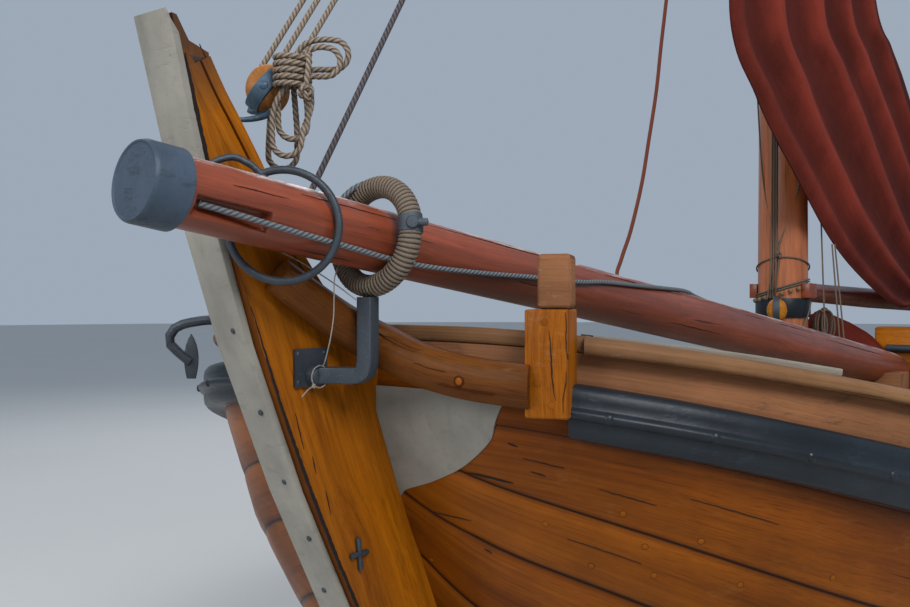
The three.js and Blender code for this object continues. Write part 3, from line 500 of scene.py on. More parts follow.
def make_finish(name):
    """Makes the material of that name: its kind of surface, then that kind's values; text is a colour."""
    c = bpy.context.scene.sailboat_colours
    sizes = bpy.context.scene.sailboat_sizes
    makers = {
        "oak": (wood, c.oak, c.oak_dark, shade(c.oak, 1.35), 0.45, 0.34, WORN_OAK, 0.25),
        "oak_post": (wood, shade(c.oak, 1.05), c.oak_dark, shade(c.oak, 1.4), 0.35, 0.38, WORN_OAK, 0.3),
        "plank": (wood, "884606", "3c1803", "9a560c", 0.5, 0.32, (0.20, 0.08, 0.02), 0.3, True),
        "stem": (stem_wood, c.oak, c.oak_dark),
        "chock": (wood, "744018", "2e1404", "84501c", 0.3, 0.42, (0.20, 0.11, 0.05), 0.3),
        "post_top": (wood, c.rail, shade(c.rail, 0.42), shade(c.rail, 1.3), 0.1, 0.55,
                     (0.30, 0.23, 0.18), 0.45),
        "bitt": (wood, shade(c.oak, 1.05), c.oak_dark, shade(c.oak, 1.5), 0.3, 0.42),
        "leeboard": (wood, shade(c.oak, 0.9), c.oak_dark, shade(c.oak, 1.1), 0.3, 0.42, WORN_OAK, 0.6),
        "grey_plank": (wood, "8f8880", "5a534c", "b3a890", 0.0, 0.7),
        "block": (wood, "b0763c", "5c3012", "d09a60", 0.2, 0.45),
        "block_bright": (wood, "c07a20", "6c3a10", "d89838", 0.4, 0.35),
        "stain": (wood, shade(c.oak_dark, 0.7), shade(c.oak_dark, 0.4), c.oak_dark, 0.2, 0.45),
        "string": (laid_rope, "b8b2a6", 0.010),
        "bead": (wood, "8a7458", "4c3c2c", "a08c70", 0.1, 0.5),
        "bung": (wood, shade(c.oak, 0.8), shade(c.oak_dark, 0.8), c.oak, 0.3, 0.4),
        "crack": (painted, (0.012, 0.008, 0.006), (0.03, 0.02, 0.012), 0.8, 0.3),
        "block_iron": (forged_iron, "3f5566", 0.25),
        "wire": (laid_rope, "5c5658", 0.058),
        "rail": (wood, c.rail, shade(c.rail, 0.42), shade(c.rail, 1.25), 0.12, 0.5,
                 (0.055, 0.030, 0.020), 0.55),
        "cap": (wood, "8c6444", "4a3020", "a07850", 0.2, 0.45, (0.26, 0.20, 0.15), 0.45),
        "inside": (wood, shade(c.rail, 0.8), shade(c.rail, 0.35), c.rail, 0.0, 0.6),
        # The last value is the share of the painted highlight and chafe on a spar's upper side.
        "spar": (varnished_spar, c.spar, 0.75),
        "boom": (varnished_spar, c.spar, 0.0),
        "mast": (varnished_spar, c.mast, 0.25),
        "tar": (painted, c.tar, shade(c.tar, 2.6), 0.32, 0.35),
        "white": (painted, c.paint, shade(c.paint, 0.35), 0.5, 0.25),
        "head_paint": (painted, "3d4b5a", "1c232b", 0.45, 0.5, 0.0016),
        "iron": (forged_iron, c.iron, 0.35),
        "rope": (laid_rope, c.rope, ROPE_LAY * sizes.rope),
        "outhaul": (laid_rope, "74787c", ROPE_LAY * sizes.outhaul),
        "lashing": (laid_rope, shade(c.rope, 0.8), 0.027),
        "red_rope": (laid_rope, "7d4434", 0.03),
        "serving": (served_line, shade(c.rope, 0.85)),
        "canvas": (canvas, c.canvas),
        # Darker copy of the canvas: the foresail carries no groove shade, so the canvas's painted crest light
        # covers it all, and this darker base offsets that.
        "canvas_low": (canvas, shade(c.canvas, 0.55)),
        "deck": (deck_planks, c.deck),
        "floor": (plain_floor, c.floor),
    }
    maker, *values = makers[name]
    return maker(name, *[tone(v) if isinstance(v, str) else v for v in values])


FINISHES_OF_SLOT = {
    "oiled_oak": ("plank", "stem", "chock", "bung", "stain", "crack"),
    "weathered_oak": ("rail", "cap"),
    "varnished_spar": ("spar", "mast", "block", "block_bright", "bead"),
    "black_paint": ("tar", "head_paint"),
    "white_paint": ("white",),
    "black_iron": ("iron", "block_iron"),
    "tarred_rope": ("rope", "outhaul", "lashing", "red_rope", "string", "serving", "wire"),
    "tanned_canvas": ("canvas", "canvas_low"),
    "grey_deck_wood": ("grey_plank",),
}
SLOTS = {look: slot for slot, looks in FINISHES_OF_SLOT.items() for look in looks}


def finish(name):
    return bpy.data.materials.get(name) or make_finish(name)


# Meshes


def grid(bm, nu, nv, place, wrap=False, groove=None):
    """Adds nu by nv faces; place(i, j) gives a point and its UV in metres, groove(i, j) its shade."""
    shades = bm.verts.layers.float.get("groove") or bm.verts.layers.float.new("groove")
    layer = bm.loops.layers.uv.verify()
    made = bmesh.ops.create_grid(bm, x_segments=nu, y_segments=nv, size=0.5)["verts"]
    spots = {}
    for v in made:
        i, j = round((v.co.x + 0.5) * nu), round((v.co.y + 0.5) * nv)
        v.co, spots[v] = place(i, j)
        if wrap and j == nv:
            v.co = place(i, 0)[0]
        if groove:
            v[shades] = groove(i, j)
    faces = {f for v in made for f in v.link_faces}
    for face in faces:
        for loop in face.loops:
            loop[layer].uv = spots[loop.vert]
    if wrap:
        bmesh.ops.remove_doubles(bm, verts=made, dist=1e-5)


def close(bm):
    """Closes every open end."""
    bmesh.ops.holes_fill(bm, edges=[e for e in bm.edges if e.is_boundary])


def piece(name, bm, look, body="hull", slot=None, replaces=(), angle=40, outwards=True):
    """Makes an object of a mesh, with its finish, riding on a body."""
    if outwards:
        bmesh.ops.recalc_face_normals(bm, faces=bm.faces)
    mesh = bpy.data.meshes.new(name)
    bm.to_mesh(mesh)
    bm.free()
    mesh.shade_smooth()
    mesh.set_sharp_from_angle(angle=math.radians(angle))
    mesh.materials.append(finish(look))
    made = bpy.data.objects.new(name, mesh)
    bpy.context.scene.collection.objects.link(made)
    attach(made, body)
    slot = slot or SLOTS[look]
    if replaces:
        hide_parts(*replaces)
    return made


def smooth_path(points, step):
    """Points a step apart along a smooth line through the given ones."""
    points = [Vector(p) for p in points]
    ends = [2 * points[0] - points[1], *points, 2 * points[-1] - points[-2]]
    dense = []
    for a, b, c, d in zip(ends, ends[1:], ends[2:], ends[3:]):
        for k in range(16):
            t = k / 16
            bend = (2 * a - 5 * b + 4 * c - d) * t * t + (3 * b - a - 3 * c + d) * t**3
            dense.append(0.5 * (2 * b + (c - a) * t + bend))
    dense.append(points[-1])
    marks = [0.0]
    for a, b in zip(dense, dense[1:]):
        marks.append(marks[-1] + (b - a).length)
    count = max(2, round(marks[-1] / step))
    path, k = [], 0
    for i in range(count + 1):
        goal = marks[-1] * i / count
        while k < len(marks) - 2 and marks[k + 1] < goal:
            k += 1
        span = max(marks[k + 1] - marks[k], 1e-9)
        path.append(dense[k].lerp(dense[k + 1], min(1.0, (goal - marks[k]) / span)))
    return path


def carried_frames(path, start=None):
    """Two directions across a path at each point, carried along it without a twist."""
    tangents = []
    for k in range(len(path)):
        tangents.append((path[min(k + 1, len(path) - 1)] - path[max(k - 1, 0)]).normalized())
    first = start or (UP if abs(tangents[0].z) < 0.9 else AHEAD)
    side = (first - tangents[0] * first.dot(tangents[0])).normalized()
    frames = []
    for tangent in tangents:
        side = (side - tangent * side.dot(tangent)).normalized()
        frames.append((side, tangent.cross(side)))
    return frames


def tube(bm, path, radius, sides=8, pitch=0.0):
    """Adds a round tube along close points. With a pitch its surface has twisted strands."""
    frames = carried_frames(path)
    marks = [0.0]
    for a, b in zip(path, path[1:]):
        marks.append(marks[-1] + (b - a).length)

    def place(i, j):
        share = j / sides
        turn = 2 * math.pi * share
        r = radius(marks[i]) if callable(radius) else radius
        if pitch:
            phase = STRANDS * (share + marks[i] / pitch)
            r *= 0.80 + 0.22 * abs(math.sin(math.pi * phase))
        side, up = frames[i]
        return path[i] + side * (r * math.cos(turn)) + up * (r * math.sin(turn)), (marks[i], share)

    grid(bm, len(path) - 1, sides, place, wrap=True)
    close(bm)


def sweep(bm, path, section, up=None, closed=True, scale=None):
    """Adds a bar of a given section, rows of [across, up] in metres, along close points."""
    frames = carried_frames(path, up)
    girth = [0.0]
    loop = [*section, section[0]]
    for a, b in zip(loop, loop[1:]):
        girth.append(girth[-1] + math.dist(a, b))
    step = (path[1] - path[0]).length

    def place(i, j):
        side, other = frames[i]
        size = scale(i / (len(path) - 1)) if scale else 1.0
        across, height = loop[j]
        return path[i] + (other * across + side * height) * size, (i * step, girth[j])

    grid(bm, len(path) - 1, len(section), place, wrap=True)
    if closed:
        close(bm)


def spin_profile(bm, rows, a, b, steps=24):
    """Adds a turned piece: rows of [distance from a towards b, radius], spun about that line."""
    axis = (Vector(b) - Vector(a)).normalized()
    turn = axis.to_track_quat("Z", "Y").to_matrix().to_4x4()
    place = Matrix.Translation(a) @ turn
    verts = [bm.verts.new((max(r, 1e-6), 0, d)) for d, r in rows]
    edges = [bm.edges.new(pair) for pair in zip(verts, verts[1:])]
    spun = bmesh.ops.spin(bm, geom=verts + edges, cent=(0, 0, 0), axis=(0, 0, 1),
                          angle=2 * math.pi, steps=steps, use_merge=True)
    found = dict.fromkeys([v for e in spun["geom_last"] for v in getattr(e, "verts", [e])] + verts)
    walk = list(found)
    while walk:
        for edge in walk.pop().link_edges:
            for v in edge.verts:
                if v not in found:
                    found[v] = None
                    walk.append(v)
    bmesh.ops.transform(bm, matrix=place, verts=list(found))
    bmesh.ops.remove_doubles(bm, verts=list(found), dist=1e-5)


def ring(bm, centre, axis, radius, bar, steps=48, sides=10):
    """Adds a round ring about an axis."""
    turn = Vector(axis).normalized().to_track_quat("Z", "Y").to_matrix()

    def place(i, j):
        a, b = 2 * math.pi * i / steps, 2 * math.pi * j / sides
        r = radius + bar * math.cos(b)
        spot = Vector((r * math.cos(a), r * math.sin(a), bar * math.sin(b)))
        return Vector(centre) + turn @ spot, (a * radius, j / sides)

    grid(bm, steps, sides, place, wrap=True)


def dome(bm, centre, normal, radius, height, steps=10):
    """Adds a low round head, such as that of a nail or bolt."""
    normal = Vector(normal).normalized()
    rows = [(-height, radius), (0, radius), (height * 0.6, radius * 0.75), (height, radius * 0.35),
            (height * 1.05, 0)]
    spin_profile(bm, rows, Vector(centre), Vector(centre) + normal, steps)


def grain_uv(bm, along, shift=0.0, axis_point=None):
    """UV map in metres with its first axis along the grain, flat on each face or round an axis."""
    layer = bm.loops.layers.uv.verify()
    along = Vector(along).normalized()
    if axis_point is not None:
        first = along.orthogonal().normalized()
        second = along.cross(first)
    for face in bm.faces:
        if axis_point is None:
            across = face.normal.cross(along)
            across = across.normalized() if across.length > 0.2 else along.orthogonal().normalized()
        angles = []
        for loop in face.loops:
            spot = loop.vert.co
            if axis_point is None:
                loop[layer].uv = (spot.dot(along) + shift * 1.7, spot.dot(across) + shift)
                continue
            out = spot - Vector(axis_point)
            angle = math.atan2(out.dot(second), out.dot(first))
            if angles and angle - angles[0] > math.pi:
                angle -= 2 * math.pi
            if angles and angle - angles[0] < -math.pi:
                angle += 2 * math.pi
            angles.append(angle)
            out -= along * out.dot(along)
            loop[layer].uv = (spot.dot(along) + shift * 1.7, angle * 0.1 + shift)


def landing(node, start, direction):
    """Place and direction out of a CAD node where a straight line first meets it."""
    bm = bmesh.new()
    bm.from_mesh(NODES[node].data)
    place, normal, _, _ = BVHTree.FromBMesh(bm).ray_cast(start, direction)
    bm.free()
    if place is None:
        raise RuntimeError(f"nothing of {node} lies there")
    return place, normal


def dressed(node, look, along=AHEAD, bevel=0.0, axis_point=None, change=None):
    """Finer stand-in for a CAD node: merged, with eased edges, a grain direction and a finish."""
    bm = bmesh.new()
    bm.from_mesh(NODES[node].data)
    bmesh.ops.remove_doubles(bm, verts=bm.verts, dist=2e-5)
    bmesh.ops.dissolve_limit(bm, angle_limit=math.radians(0.5), verts=bm.verts, edges=bm.edges)
    if bevel:
        sharp = math.radians(30)
        edges = [e for e in bm.edges if e.is_manifold and e.calc_face_angle(0) > sharp]
        bmesh.ops.bevel(bm, geom=edges, offset=bevel, affect="EDGES", segments=2, profile=0.5,
                        material=-1, clamp_overlap=True)
    if change:
        change(bm)
    bm.normal_update()
    own_shift = sum(ord(letter) for letter in node) % 97 * 0.31
    grain_uv(bm, along, own_shift, axis_point)
    body = next(b for b, names in frame["record"]["behaviour"]["bodies"].items() if node in names)
    slots = {row["node"]: row["material_slot"] for row in frame["record"]["subparts"]}
    piece(f"{node}_shape", bm, look, body, slots[node], (node,), outwards=False)


# Hull lines: share of the height, half breadth amidships, fullness of the bow and of the stern,
# station of the rabbet at the stem and at the sternpost.

LEVELS = (
    (0.0, 1.280, 0.62, 0.95, 1.640, 11.960),
    (0.09, 1.500, 0.54, 0.86, 1.430, 11.990),
    (0.25, 1.710, 0.46, 0.76, 1.110, 12.040),
    (0.47, 1.860, 0.39, 0.66, 0.800, 12.120),
    (0.73, 1.955, 0.34, 0.58, 0.555, 12.210),
    (1.0, 2.000, 0.34, 0.50, 0.415, 12.300),
)
WALE_ROWS = (  # s, top below the rail, depth
    (0.40, 0.115, 0.130),
    (0.55, 0.126, 0.140),
    (1.40, 0.174, 0.180),
    (3.00, 0.220, 0.190),
    (6.00, 0.255, 0.190),
    (9.50, 0.250, 0.185),
    (12.30, 0.200, 0.150),
)
POST_T = 3 / 14  # where the bow post stands, as a share of the way to the greatest beam
STEM_HALF = 0.0803
STERNPOST_HALF = 0.0603
BOTTOM_THICK = 0.0615
PLANK = 0.050
CAP_HIGH = 0.045
WALE_PROUD = 0.075
STEM_TOP = 3.296


def rail_top(s):
    """Height of the rail: lowest a little aft of the middle, steeper towards the bow."""
    return 1.8 + (0.0172 if s < 7 else 0.0125) * (7 - s) ** 2


def wale_top(s):
    return rail_top(s) - table(WALE_ROWS, s)[0]


def wale_foot(s):
    return wale_top(s) - table(WALE_ROWS, s)[1]


def underside(s):
    """Height of the flat bottom, which rises at its two ends."""
    fore_end, after_end = 1.9, 10.6
    if s < fore_end:
        return 0.6 * (fore_end - s) ** 2
    return 0.06 * (s - after_end) ** 2 if s > after_end else 0.0


def stem_face(z):
    """Station of the painted facing's front, which curves aft below the stem's top."""
    below = STEM_TOP - z
    return -0.283 + 0.2177 * below + 0.1063 * below**2


def plan(level, t):
    """Station and half breadth on a level; t runs from 0 at the stem over 1 to 2 at the stern.

    The powers of t crowd the points towards the two ends, where the sides bend most.
    """
    _, half, bow, stern, s0, s1 = level
    if t <= 1:
        q = t**2.6
        return lerp(s0, MAX_BEAM_S, q), lerp(STEM_HALF, half, (1 - (1 - q) ** 2) ** bow)
    q = 1 - (2 - t) ** 1.35
    return lerp(MAX_BEAM_S, s1, q), lerp(STERNPOST_HALF, half, (1 - q**2.2) ** stern)


def moved_out(level, t, out):
    """A level's point moved outwards square to its curve, its ends kept on their planes."""
    near = 0.004
    s, p = plan(level, t)
    a, b = plan(level, max(0.0, t - near)), plan(level, min(2.0, t + near))
    length = math.dist(a, b)
    ts, tp = (b[0] - a[0]) / length, (b[1] - a[1]) / length
    q = [s - tp * out, p + ts * out]
    if t <= 0 or t >= 2:
        slide = (p - q[1]) / tp
        q = [q[0] + ts * slide, p]
    return q


def side_point(share, t, out=0.0):
    """Station, half breadth and height on the planking, or on its surface moved outwards."""
    a, b = around(LEVELS, share)
    q = (share - a[0]) / (b[0] - a[0])
    spots = []
    for level in (a, b):
        s, _ = plan(level, t)
        base = underside(s) + BOTTOM_THICK
        spots.append((*moved_out(level, t, out), lerp(base, wale_foot(s) - GAP, level[0])))
    return [lerp(v, w, q) for v, w in zip(*spots)]


def skin_point(t, z, out=0.0):
    """Station, half breadth and height on the outer side at a height; a wall above the planking."""
    s = plan(LEVELS[-1], t)[0]
    if z >= wale_foot(s):
        return [*moved_out(LEVELS[-1], t, out), z]
    low, high = 0.0, 1.0
    for _ in range(24):
        middle = (low + high) / 2
        if side_point(middle, t)[2] < z:
            low = middle
        else:
            high = middle
    return side_point(low, t, out)


def crowded(k, count):
    """Share of the way along to column k, where columns stand closer at the bow."""
    return (k / count) ** 1.25


def slab(bm, nu, nv, spot, groove=None):
    """Adds a closed plate; spot(i, j) gives its front point, its back point and its UV."""
    def place(i, j):
        front = j <= nv
        row = j if front else 2 * nv + 1 - j
        if j > 2 * nv + 1:
            row, front = 0, True
        a, b, uv = spot(i, row)
        return (a if front else b), (uv[0], uv[1] + (0 if front else 0.53))

    def shade_of(i, j):
        return groove(i, j if j <= nv else max(0, 2 * nv + 1 - j))

    grid(bm, nu, 2 * nv + 2, place, wrap=True, groove=shade_of if groove else None)
    close(bm)


# Ropes and the tackle's hank


HANK = at(0.060, 0.094, 3.110)
TO_RIGHT = Vector((-0.6157, 0.788, 0.0))
TO_BOW = Vector((0.788, 0.6157, 0.0))


def in_hank(u, v, w):
    """Point in the hank's own plane, in millimetres: right, up and towards the port bow."""
    return HANK + TO_RIGHT * (u / 1000) + UP * (v / 1000) + TO_BOW * (w / 1000)


def bight(u, v, w, radius, start, end, steps):
    """Round bend of the hank about a centre, between two directions in degrees."""
    spots = []
    for k in range(steps + 1):
        a = math.radians(lerp(start, end, k / steps))
        spots.append((u + radius * math.cos(a), v + radius * math.sin(a), w))
    return spots


def hank_route():
    """Fall of the tackle: long turns below, their heads laid over to the right, then close wraps."""
    rows = [(-43, 20, -45), (-50, -6, -42), (-52, -50, -36)]
    rows += bight(-16, -119, -26, 37, 180, 360, 6)
    rows += [(22, -60, -22), (18, 0, -20), (13, 70, -20), (18, 128, -20), (42, 164, -18), (82, 176, -16)]
    rows += bight(118, 136, -12, 38, 75, -95, 5)
    rows += [(66, 96, -6), (28, 86, -4), (-4, 56, -2), (-21, 14, 0)]
    rows += bight(15, -46, 2, 37, 180, 360, 6)
    rows += [(52, 0, 4), (44, 56, 6), (43, 108, 8), (54, 138, 10), (78, 149, 12)]
    rows += bight(101, 112, 14, 37, 90, -90, 5)
    rows += [(56, 73, 20), (20, 62, 20), (-12, 30, 20), (-33, -20, 20)]
    rows += bight(3, -92, 22, 37, 180, 360, 6)
    rows += [(44, -58, 8), (51, -24, -18), (57, 10, -34), (58, 35, -24), (57, 46, 2)]
    for k in range(2, 52):
        a = math.radians(40 - 36 * k)
        rows.append((14 + 43 * math.cos(a), lerp(46, 134, k / 51), 2 - 43 * math.sin(a)))
    rows += [(58, 128, 20), (61, 104, 40), (59, 70, 48), (56, 40, 50)]
    return smooth_path([in_hank(*q) for q in rows], 0.005)


def rope(name, points, diameter, look, body="hull", step=None, laid=False):
    """A taut or seized rope along a smooth line, with real strands where it is laid."""
    path = smooth_path(points, step or diameter * (0.5 if laid else 2.5))
    bm = bmesh.new()
    tube(bm, path, diameter / 2 * (1.04 if laid else 1), 12 if laid else 8,
         diameter * ROPE_LAY if laid else 0.0)
    return piece(name, bm, look, body, angle=180)


def hoop(centre, first, second):
    """Points of a closed oval, given by its two half axes."""
    spots = []
    for k in range(33):
        a = 2 * math.pi * k / 32
        spots.append(centre + first * math.cos(a) + second * math.sin(a))
    return spots


def knot(bm, centre, size, radius):
    """Adds a closed overhand knot of rope."""
    spots = []
    for k in range(48):
        a = 2 * math.pi * k / 48
        ring_r = size * (1 + 0.45 * math.cos(3 * a))
        spot = Vector((ring_r * math.cos(2 * a), size * 0.5 * math.sin(3 * a), ring_r * math.sin(2 * a)))
        spots.append(spot + Vector(centre))
    tube(bm, smooth_path([*spots, spots[0]], radius * 0.8), radius, 8)


def knotted(name, look, centre, size, radius, body="hull"):
    bm = bmesh.new()
    knot(bm, centre, size, radius)
    return piece(name, bm, look, body, angle=180)


class SAILBOAT_OT_camera(bpy.types.Operator):
    """Camera on the port bow and soft studio light."""

    bl_idname = "sailboat.camera"
    bl_label = "Camera and light"

    def execute(self, context):
        scene = context.scene
        camera = bpy.data.objects.new("bow_camera", bpy.data.cameras.new("bow_camera"))
        camera.data.lens = 39.56
        camera.data.sensor_width = 36
        camera.data.clip_start = 0.05
        camera.data.clip_end = 200
        camera.location = (8.053, 2.014, 2.62)
        aim = Vector((-0.788, -0.6157, -0.0055))
        camera.rotation_euler = aim.to_track_quat("-Z", "Y").to_euler()
        scene.collection.objects.link(camera)
        scene.camera = camera
        scene.view_settings.view_transform = "Standard"
        world = bpy.data.worlds.new("studio")
        world.use_nodes = True
        world.node_tree.nodes["Background"].inputs[0].default_value = (0.34, 0.40, 0.48, 1)
        scene.world = world
        lamps = (  # place, aim, watts, size
            ((9.5, 7.0, 9.0), (4.0, 0.5, 2.2), 900, 4.0),
            ((12.5, -1.5, 6.0), (6.2, 0.3, 2.6), 330, 4.0),
            ((-2.0, -9.0, 11.0), (0.5, 0.0, 2.0), 500, 8.0),
        )
        for k, (place, aim, power, size) in enumerate(lamps):
            lamp = bpy.data.objects.new(f"soft_light_{k}", bpy.data.lights.new(f"soft_light_{k}", "AREA"))
            lamp.data.energy = power
            lamp.data.size = size
            lamp.location = place
            lamp.rotation_euler = (Vector(aim) - Vector(place)).to_track_quat("-Z", "Y").to_euler()
            scene.collection.objects.link(lamp)
        return {"FINISHED"}


class SAILBOAT_OT_floor(bpy.types.Operator):
    """Pale floor at the waterline, open inside the hull."""

    bl_idname = "sailboat.floor"
    bl_label = "Floor"

    def execute(self, context):
        bm = bmesh.new()
        rim = [skin_point(k / 40, WATERLINE, -0.02) for k in range(81)]
        loop = [at(s, p, z) for s, p, z in rim] + [at(s, -p, z) for s, p, z in rim[-2:0:-1]]
        near = [bm.verts.new((q.x, q.y, WATERLINE)) for q in loop]
        far = [bm.verts.new((*(q.xy.normalized() * FLOOR_REACH), WATERLINE)) for q in loop]
        for k in range(len(loop)):
            m = (k + 1) % len(loop)
            bm.faces.new((near[k], far[k], far[m], near[m]))
        bm.normal_update()
        for face in bm.faces:
            if face.normal.z < 0:
                face.normal_flip()
        mesh = bpy.data.meshes.new("floor")
        bm.to_mesh(mesh)
        bm.free()
        mesh.materials.append(finish("floor"))
        made = bpy.data.objects.new("floor", mesh)
        context.scene.collection.objects.link(made)
        return {"FINISHED"}


class SAILBOAT_OT_hank(bpy.types.Operator):
    """Loose fall of the bow tackle, made up in a hank."""

    bl_idname = "sailboat.hank"
    bl_label = "Tackle fall"

    def execute(self, context):
        size = context.scene.sailboat_sizes.rope
        path = hank_route()
        bm = bmesh.new()
        tube(bm, path, size / 2, 12, size * ROPE_LAY)
        fall = piece("tackle_fall", bm, "rope", replaces=("rope_hank",), angle=180)
        end = knotted("tackle_fall_knot", "rope", path[-1] - UP * 0.012, 0.013, size * 0.42)
        length = sum((b - a).length for a, b in zip(path, path[1:]))
        tuple(path[0])
        [tuple(q) for q in path]
        return {"FINISHED"}


# Hull


PLANK_SEAMS = (  # share of the side amidships, rise at the stem, reach of the rise
    (0.836, 0.139, 0.068),
    (0.700, 0.115, 0.055),
    (0.565, 0.114, 0.055),
    (0.440, 0.095, 0.055),
    (0.325, 0.075, 0.060),
    (0.215, 0.055, 0.070),
    (0.105, 0.030, 0.080),
)


def seam_share(k, t):
    if k < 0:
        return 1.0
    if k >= len(PLANK_SEAMS):
        return 0.0
    base, rise, reach = PLANK_SEAMS[k]
    return base + rise * math.exp(-t / reach)


def hull_planks(side, depth):
    """Mesh of one side's planking with a V groove at each seam."""
    half_seam, girth_amidships = 0.012, 1.6
    grain_shift = (1.37, 3.31)  # from one plank to the next, along and across
    inner = (0.0, 0.012, 0.03, 0.12, 0.3, 0.5, 0.7, 0.88, 0.97, 0.988)
    rows = [(k, q) for k in range(len(PLANK_SEAMS) + 1) for q in inner] + [(len(PLANK_SEAMS), 1.0)]
    columns, back = 150, 12

    def shade_of(i, j):
        if not 0 < j < len(rows) - 1:
            return 0.0
        t = 2 * crowded(i, columns)
        k, q = rows[j]
        wide = (seam_share(k - 1, t) - seam_share(k, t)) * girth_amidships
        return max(0.0, 1 - min(q, 1 - q) * wide / 0.011)

    def place(i, j):
        t = 2 * crowded(i, columns)
        if j < len(rows):
            k, q = rows[j]
            top, foot = seam_share(k - 1, t), seam_share(k, t)
            share = lerp(top, foot, q)
            wide = (top - foot) * girth_amidships
            edge = min(q, 1 - q) * wide
            groove = depth * max(0.0, 1 - edge / half_seam) ** 0.7 if 0 < j < len(rows) - 1 else 0.0
            hollow = 0.0015 * (1 - min(1.0, edge / 0.05))
            s, p, z = side_point(share, t, -groove - hollow)
            u, v = s + k * grain_shift[0], q * wide + k * grain_shift[1]
            return at(s, side * p, z), (u, v + (0.0 if side > 0 else 11.7))
        row = 1 - min(1.0, (j - len(rows)) / back)
        if j > len(rows) + back:
            row = 1.0
            s, p, z = side_point(1.0, t)
            return at(s, side * p, z), (s, 0.0)
        s, p, z = side_point(1 - row, t, -PLANK)
        return at(s, side * p, z), (s, row * girth_amidships + 27)

    bm = bmesh.new()
    grid(bm, columns, len(rows) + back + 1, place, wrap=True, groove=shade_of)
    close(bm)
    return bm


def bar_section(left, right, low, high, radius, steps=3):
    """Section of a bar with eased corners, between two sides and two heights."""
    return rounded([(left, low), (right, low), (right, high), (left, high)], radius, steps)


def strake(section, first, last, side, columns=170):
    """Mesh of a band above the planking: rows of [offset out, band, share of the band's height]."""
    band_high = 0.17
    girth = [0.0]
    for a, b in zip(section, [*section[1:], section[0]]):
        girth.append(girth[-1] + math.hypot(a[0] - b[0], (a[2] - b[2] + a[1] - b[1]) * band_high))

    def place(i, j):
        t = lerp(first, last, crowded(i, columns))
        out, band, share = section[j % len(section)]
        s = plan(LEVELS[-1], t)[0]
        low = (wale_foot(s) + GAP / 2, wale_top(s) + GAP / 2)[band]
        high = (wale_top(s) - GAP / 2, rail_top(s) - CAP_HIGH - GAP)[band]
        q = moved_out(LEVELS[-1], t, out)
        return at(q[0], side * q[1], lerp(low, high, share)), (q[0] + (3 if side < 0 else 0), girth[j])

    bm = bmesh.new()
    grid(bm, columns, len(section), place, wrap=True)
    close(bm)
    return bm


def rounded(corners, radius, steps=3):
    """Outline of [x, y] corners, each eased by a small arc."""
    spots = []
    for k, corner in enumerate(corners):
        b = Vector(corner)
        before, after = Vector(corners[k - 1]) - b, Vector(corners[(k + 1) % len(corners)]) - b
        reach = min(radius, before.length * 0.45, after.length * 0.45)
        a, c = b + before.normalized() * reach, b + after.normalized() * reach
        for m in range(steps + 1):
            q = m / steps
            spots.append((a * (1 - q) ** 2 + b * 2 * q * (1 - q) + c * q**2)[:])
    return spots


WALE_SECTION = [
    (-0.050, 0, 0.0), (0.0, 0, 0.0), (0.045, 0, 0.0), (0.058, 0, 0.03), (0.067, 0, 0.11),
    (0.070, 0, 0.24), (0.070, 0, 0.36), (0.074, 0, 0.395), (0.084, 0, 0.425), (0.089, 0, 0.47),
    (0.089, 0, 0.53), (0.084, 0, 0.575), (0.074, 0, 0.605), (0.070, 0, 0.64), (0.070, 0, 0.76),
    (0.067, 0, 0.89), (0.058, 0, 0.97), (0.045, 0, 1.0), (-0.004, 0, 1.0), (-0.050, 0, 1.0),
]
BULWARK_SECTION = [
    (-0.004, 1, 0.0), (-0.006, 1, 0.2), (-0.009, 1, 0.5), (-0.013, 1, 0.8), (-0.016, 1, 1.0),
    (-0.050, 1, 1.0), (-0.050, 1, 0.5), (-0.050, 1, 0.0),
]
BOW_STRAKE_SECTION = [
    (0.0, 0, 0.0), (-0.001, 0, 0.3), (-0.002, 0, 0.6), (-0.004, 0, 0.94), (-0.008, 0, 1.0),
    (-0.050, 0, 1.0), (-0.050, 0, 0.0),
]
CAP_CORNERS = [(-0.087, 0.0), (-0.097, 0.024), (-0.085, 0.044), (0.010, 0.0445), (0.037, 0.030),
               (0.037, 0.014), (0.028, 0.0)]
NARROW_CORNERS = [(-0.050, 0.0), (-0.050, 0.043), (-0.020, 0.045), (-0.014, 0.028), (-0.014, 0.0)]


def cap_rail(bm, corners, ease, first, last, side, columns):
    outline = rounded(corners, ease)

    def place(i, j):
        t = lerp(first, last, crowded(i, columns))
        out, high = outline[j % len(outline)]
        s = plan(LEVELS[-1], t)[0]
        q = moved_out(LEVELS[-1], t, out)
        return at(q[0], side * q[1], rail_top(s) - CAP_HIGH + high), (q[0], j * 0.011 + 5 * (side < 0))

    grid(bm, columns, len(outline), place, wrap=True)
    close(bm)


SIDES = ((1, "port"), (-1, "starboard"))


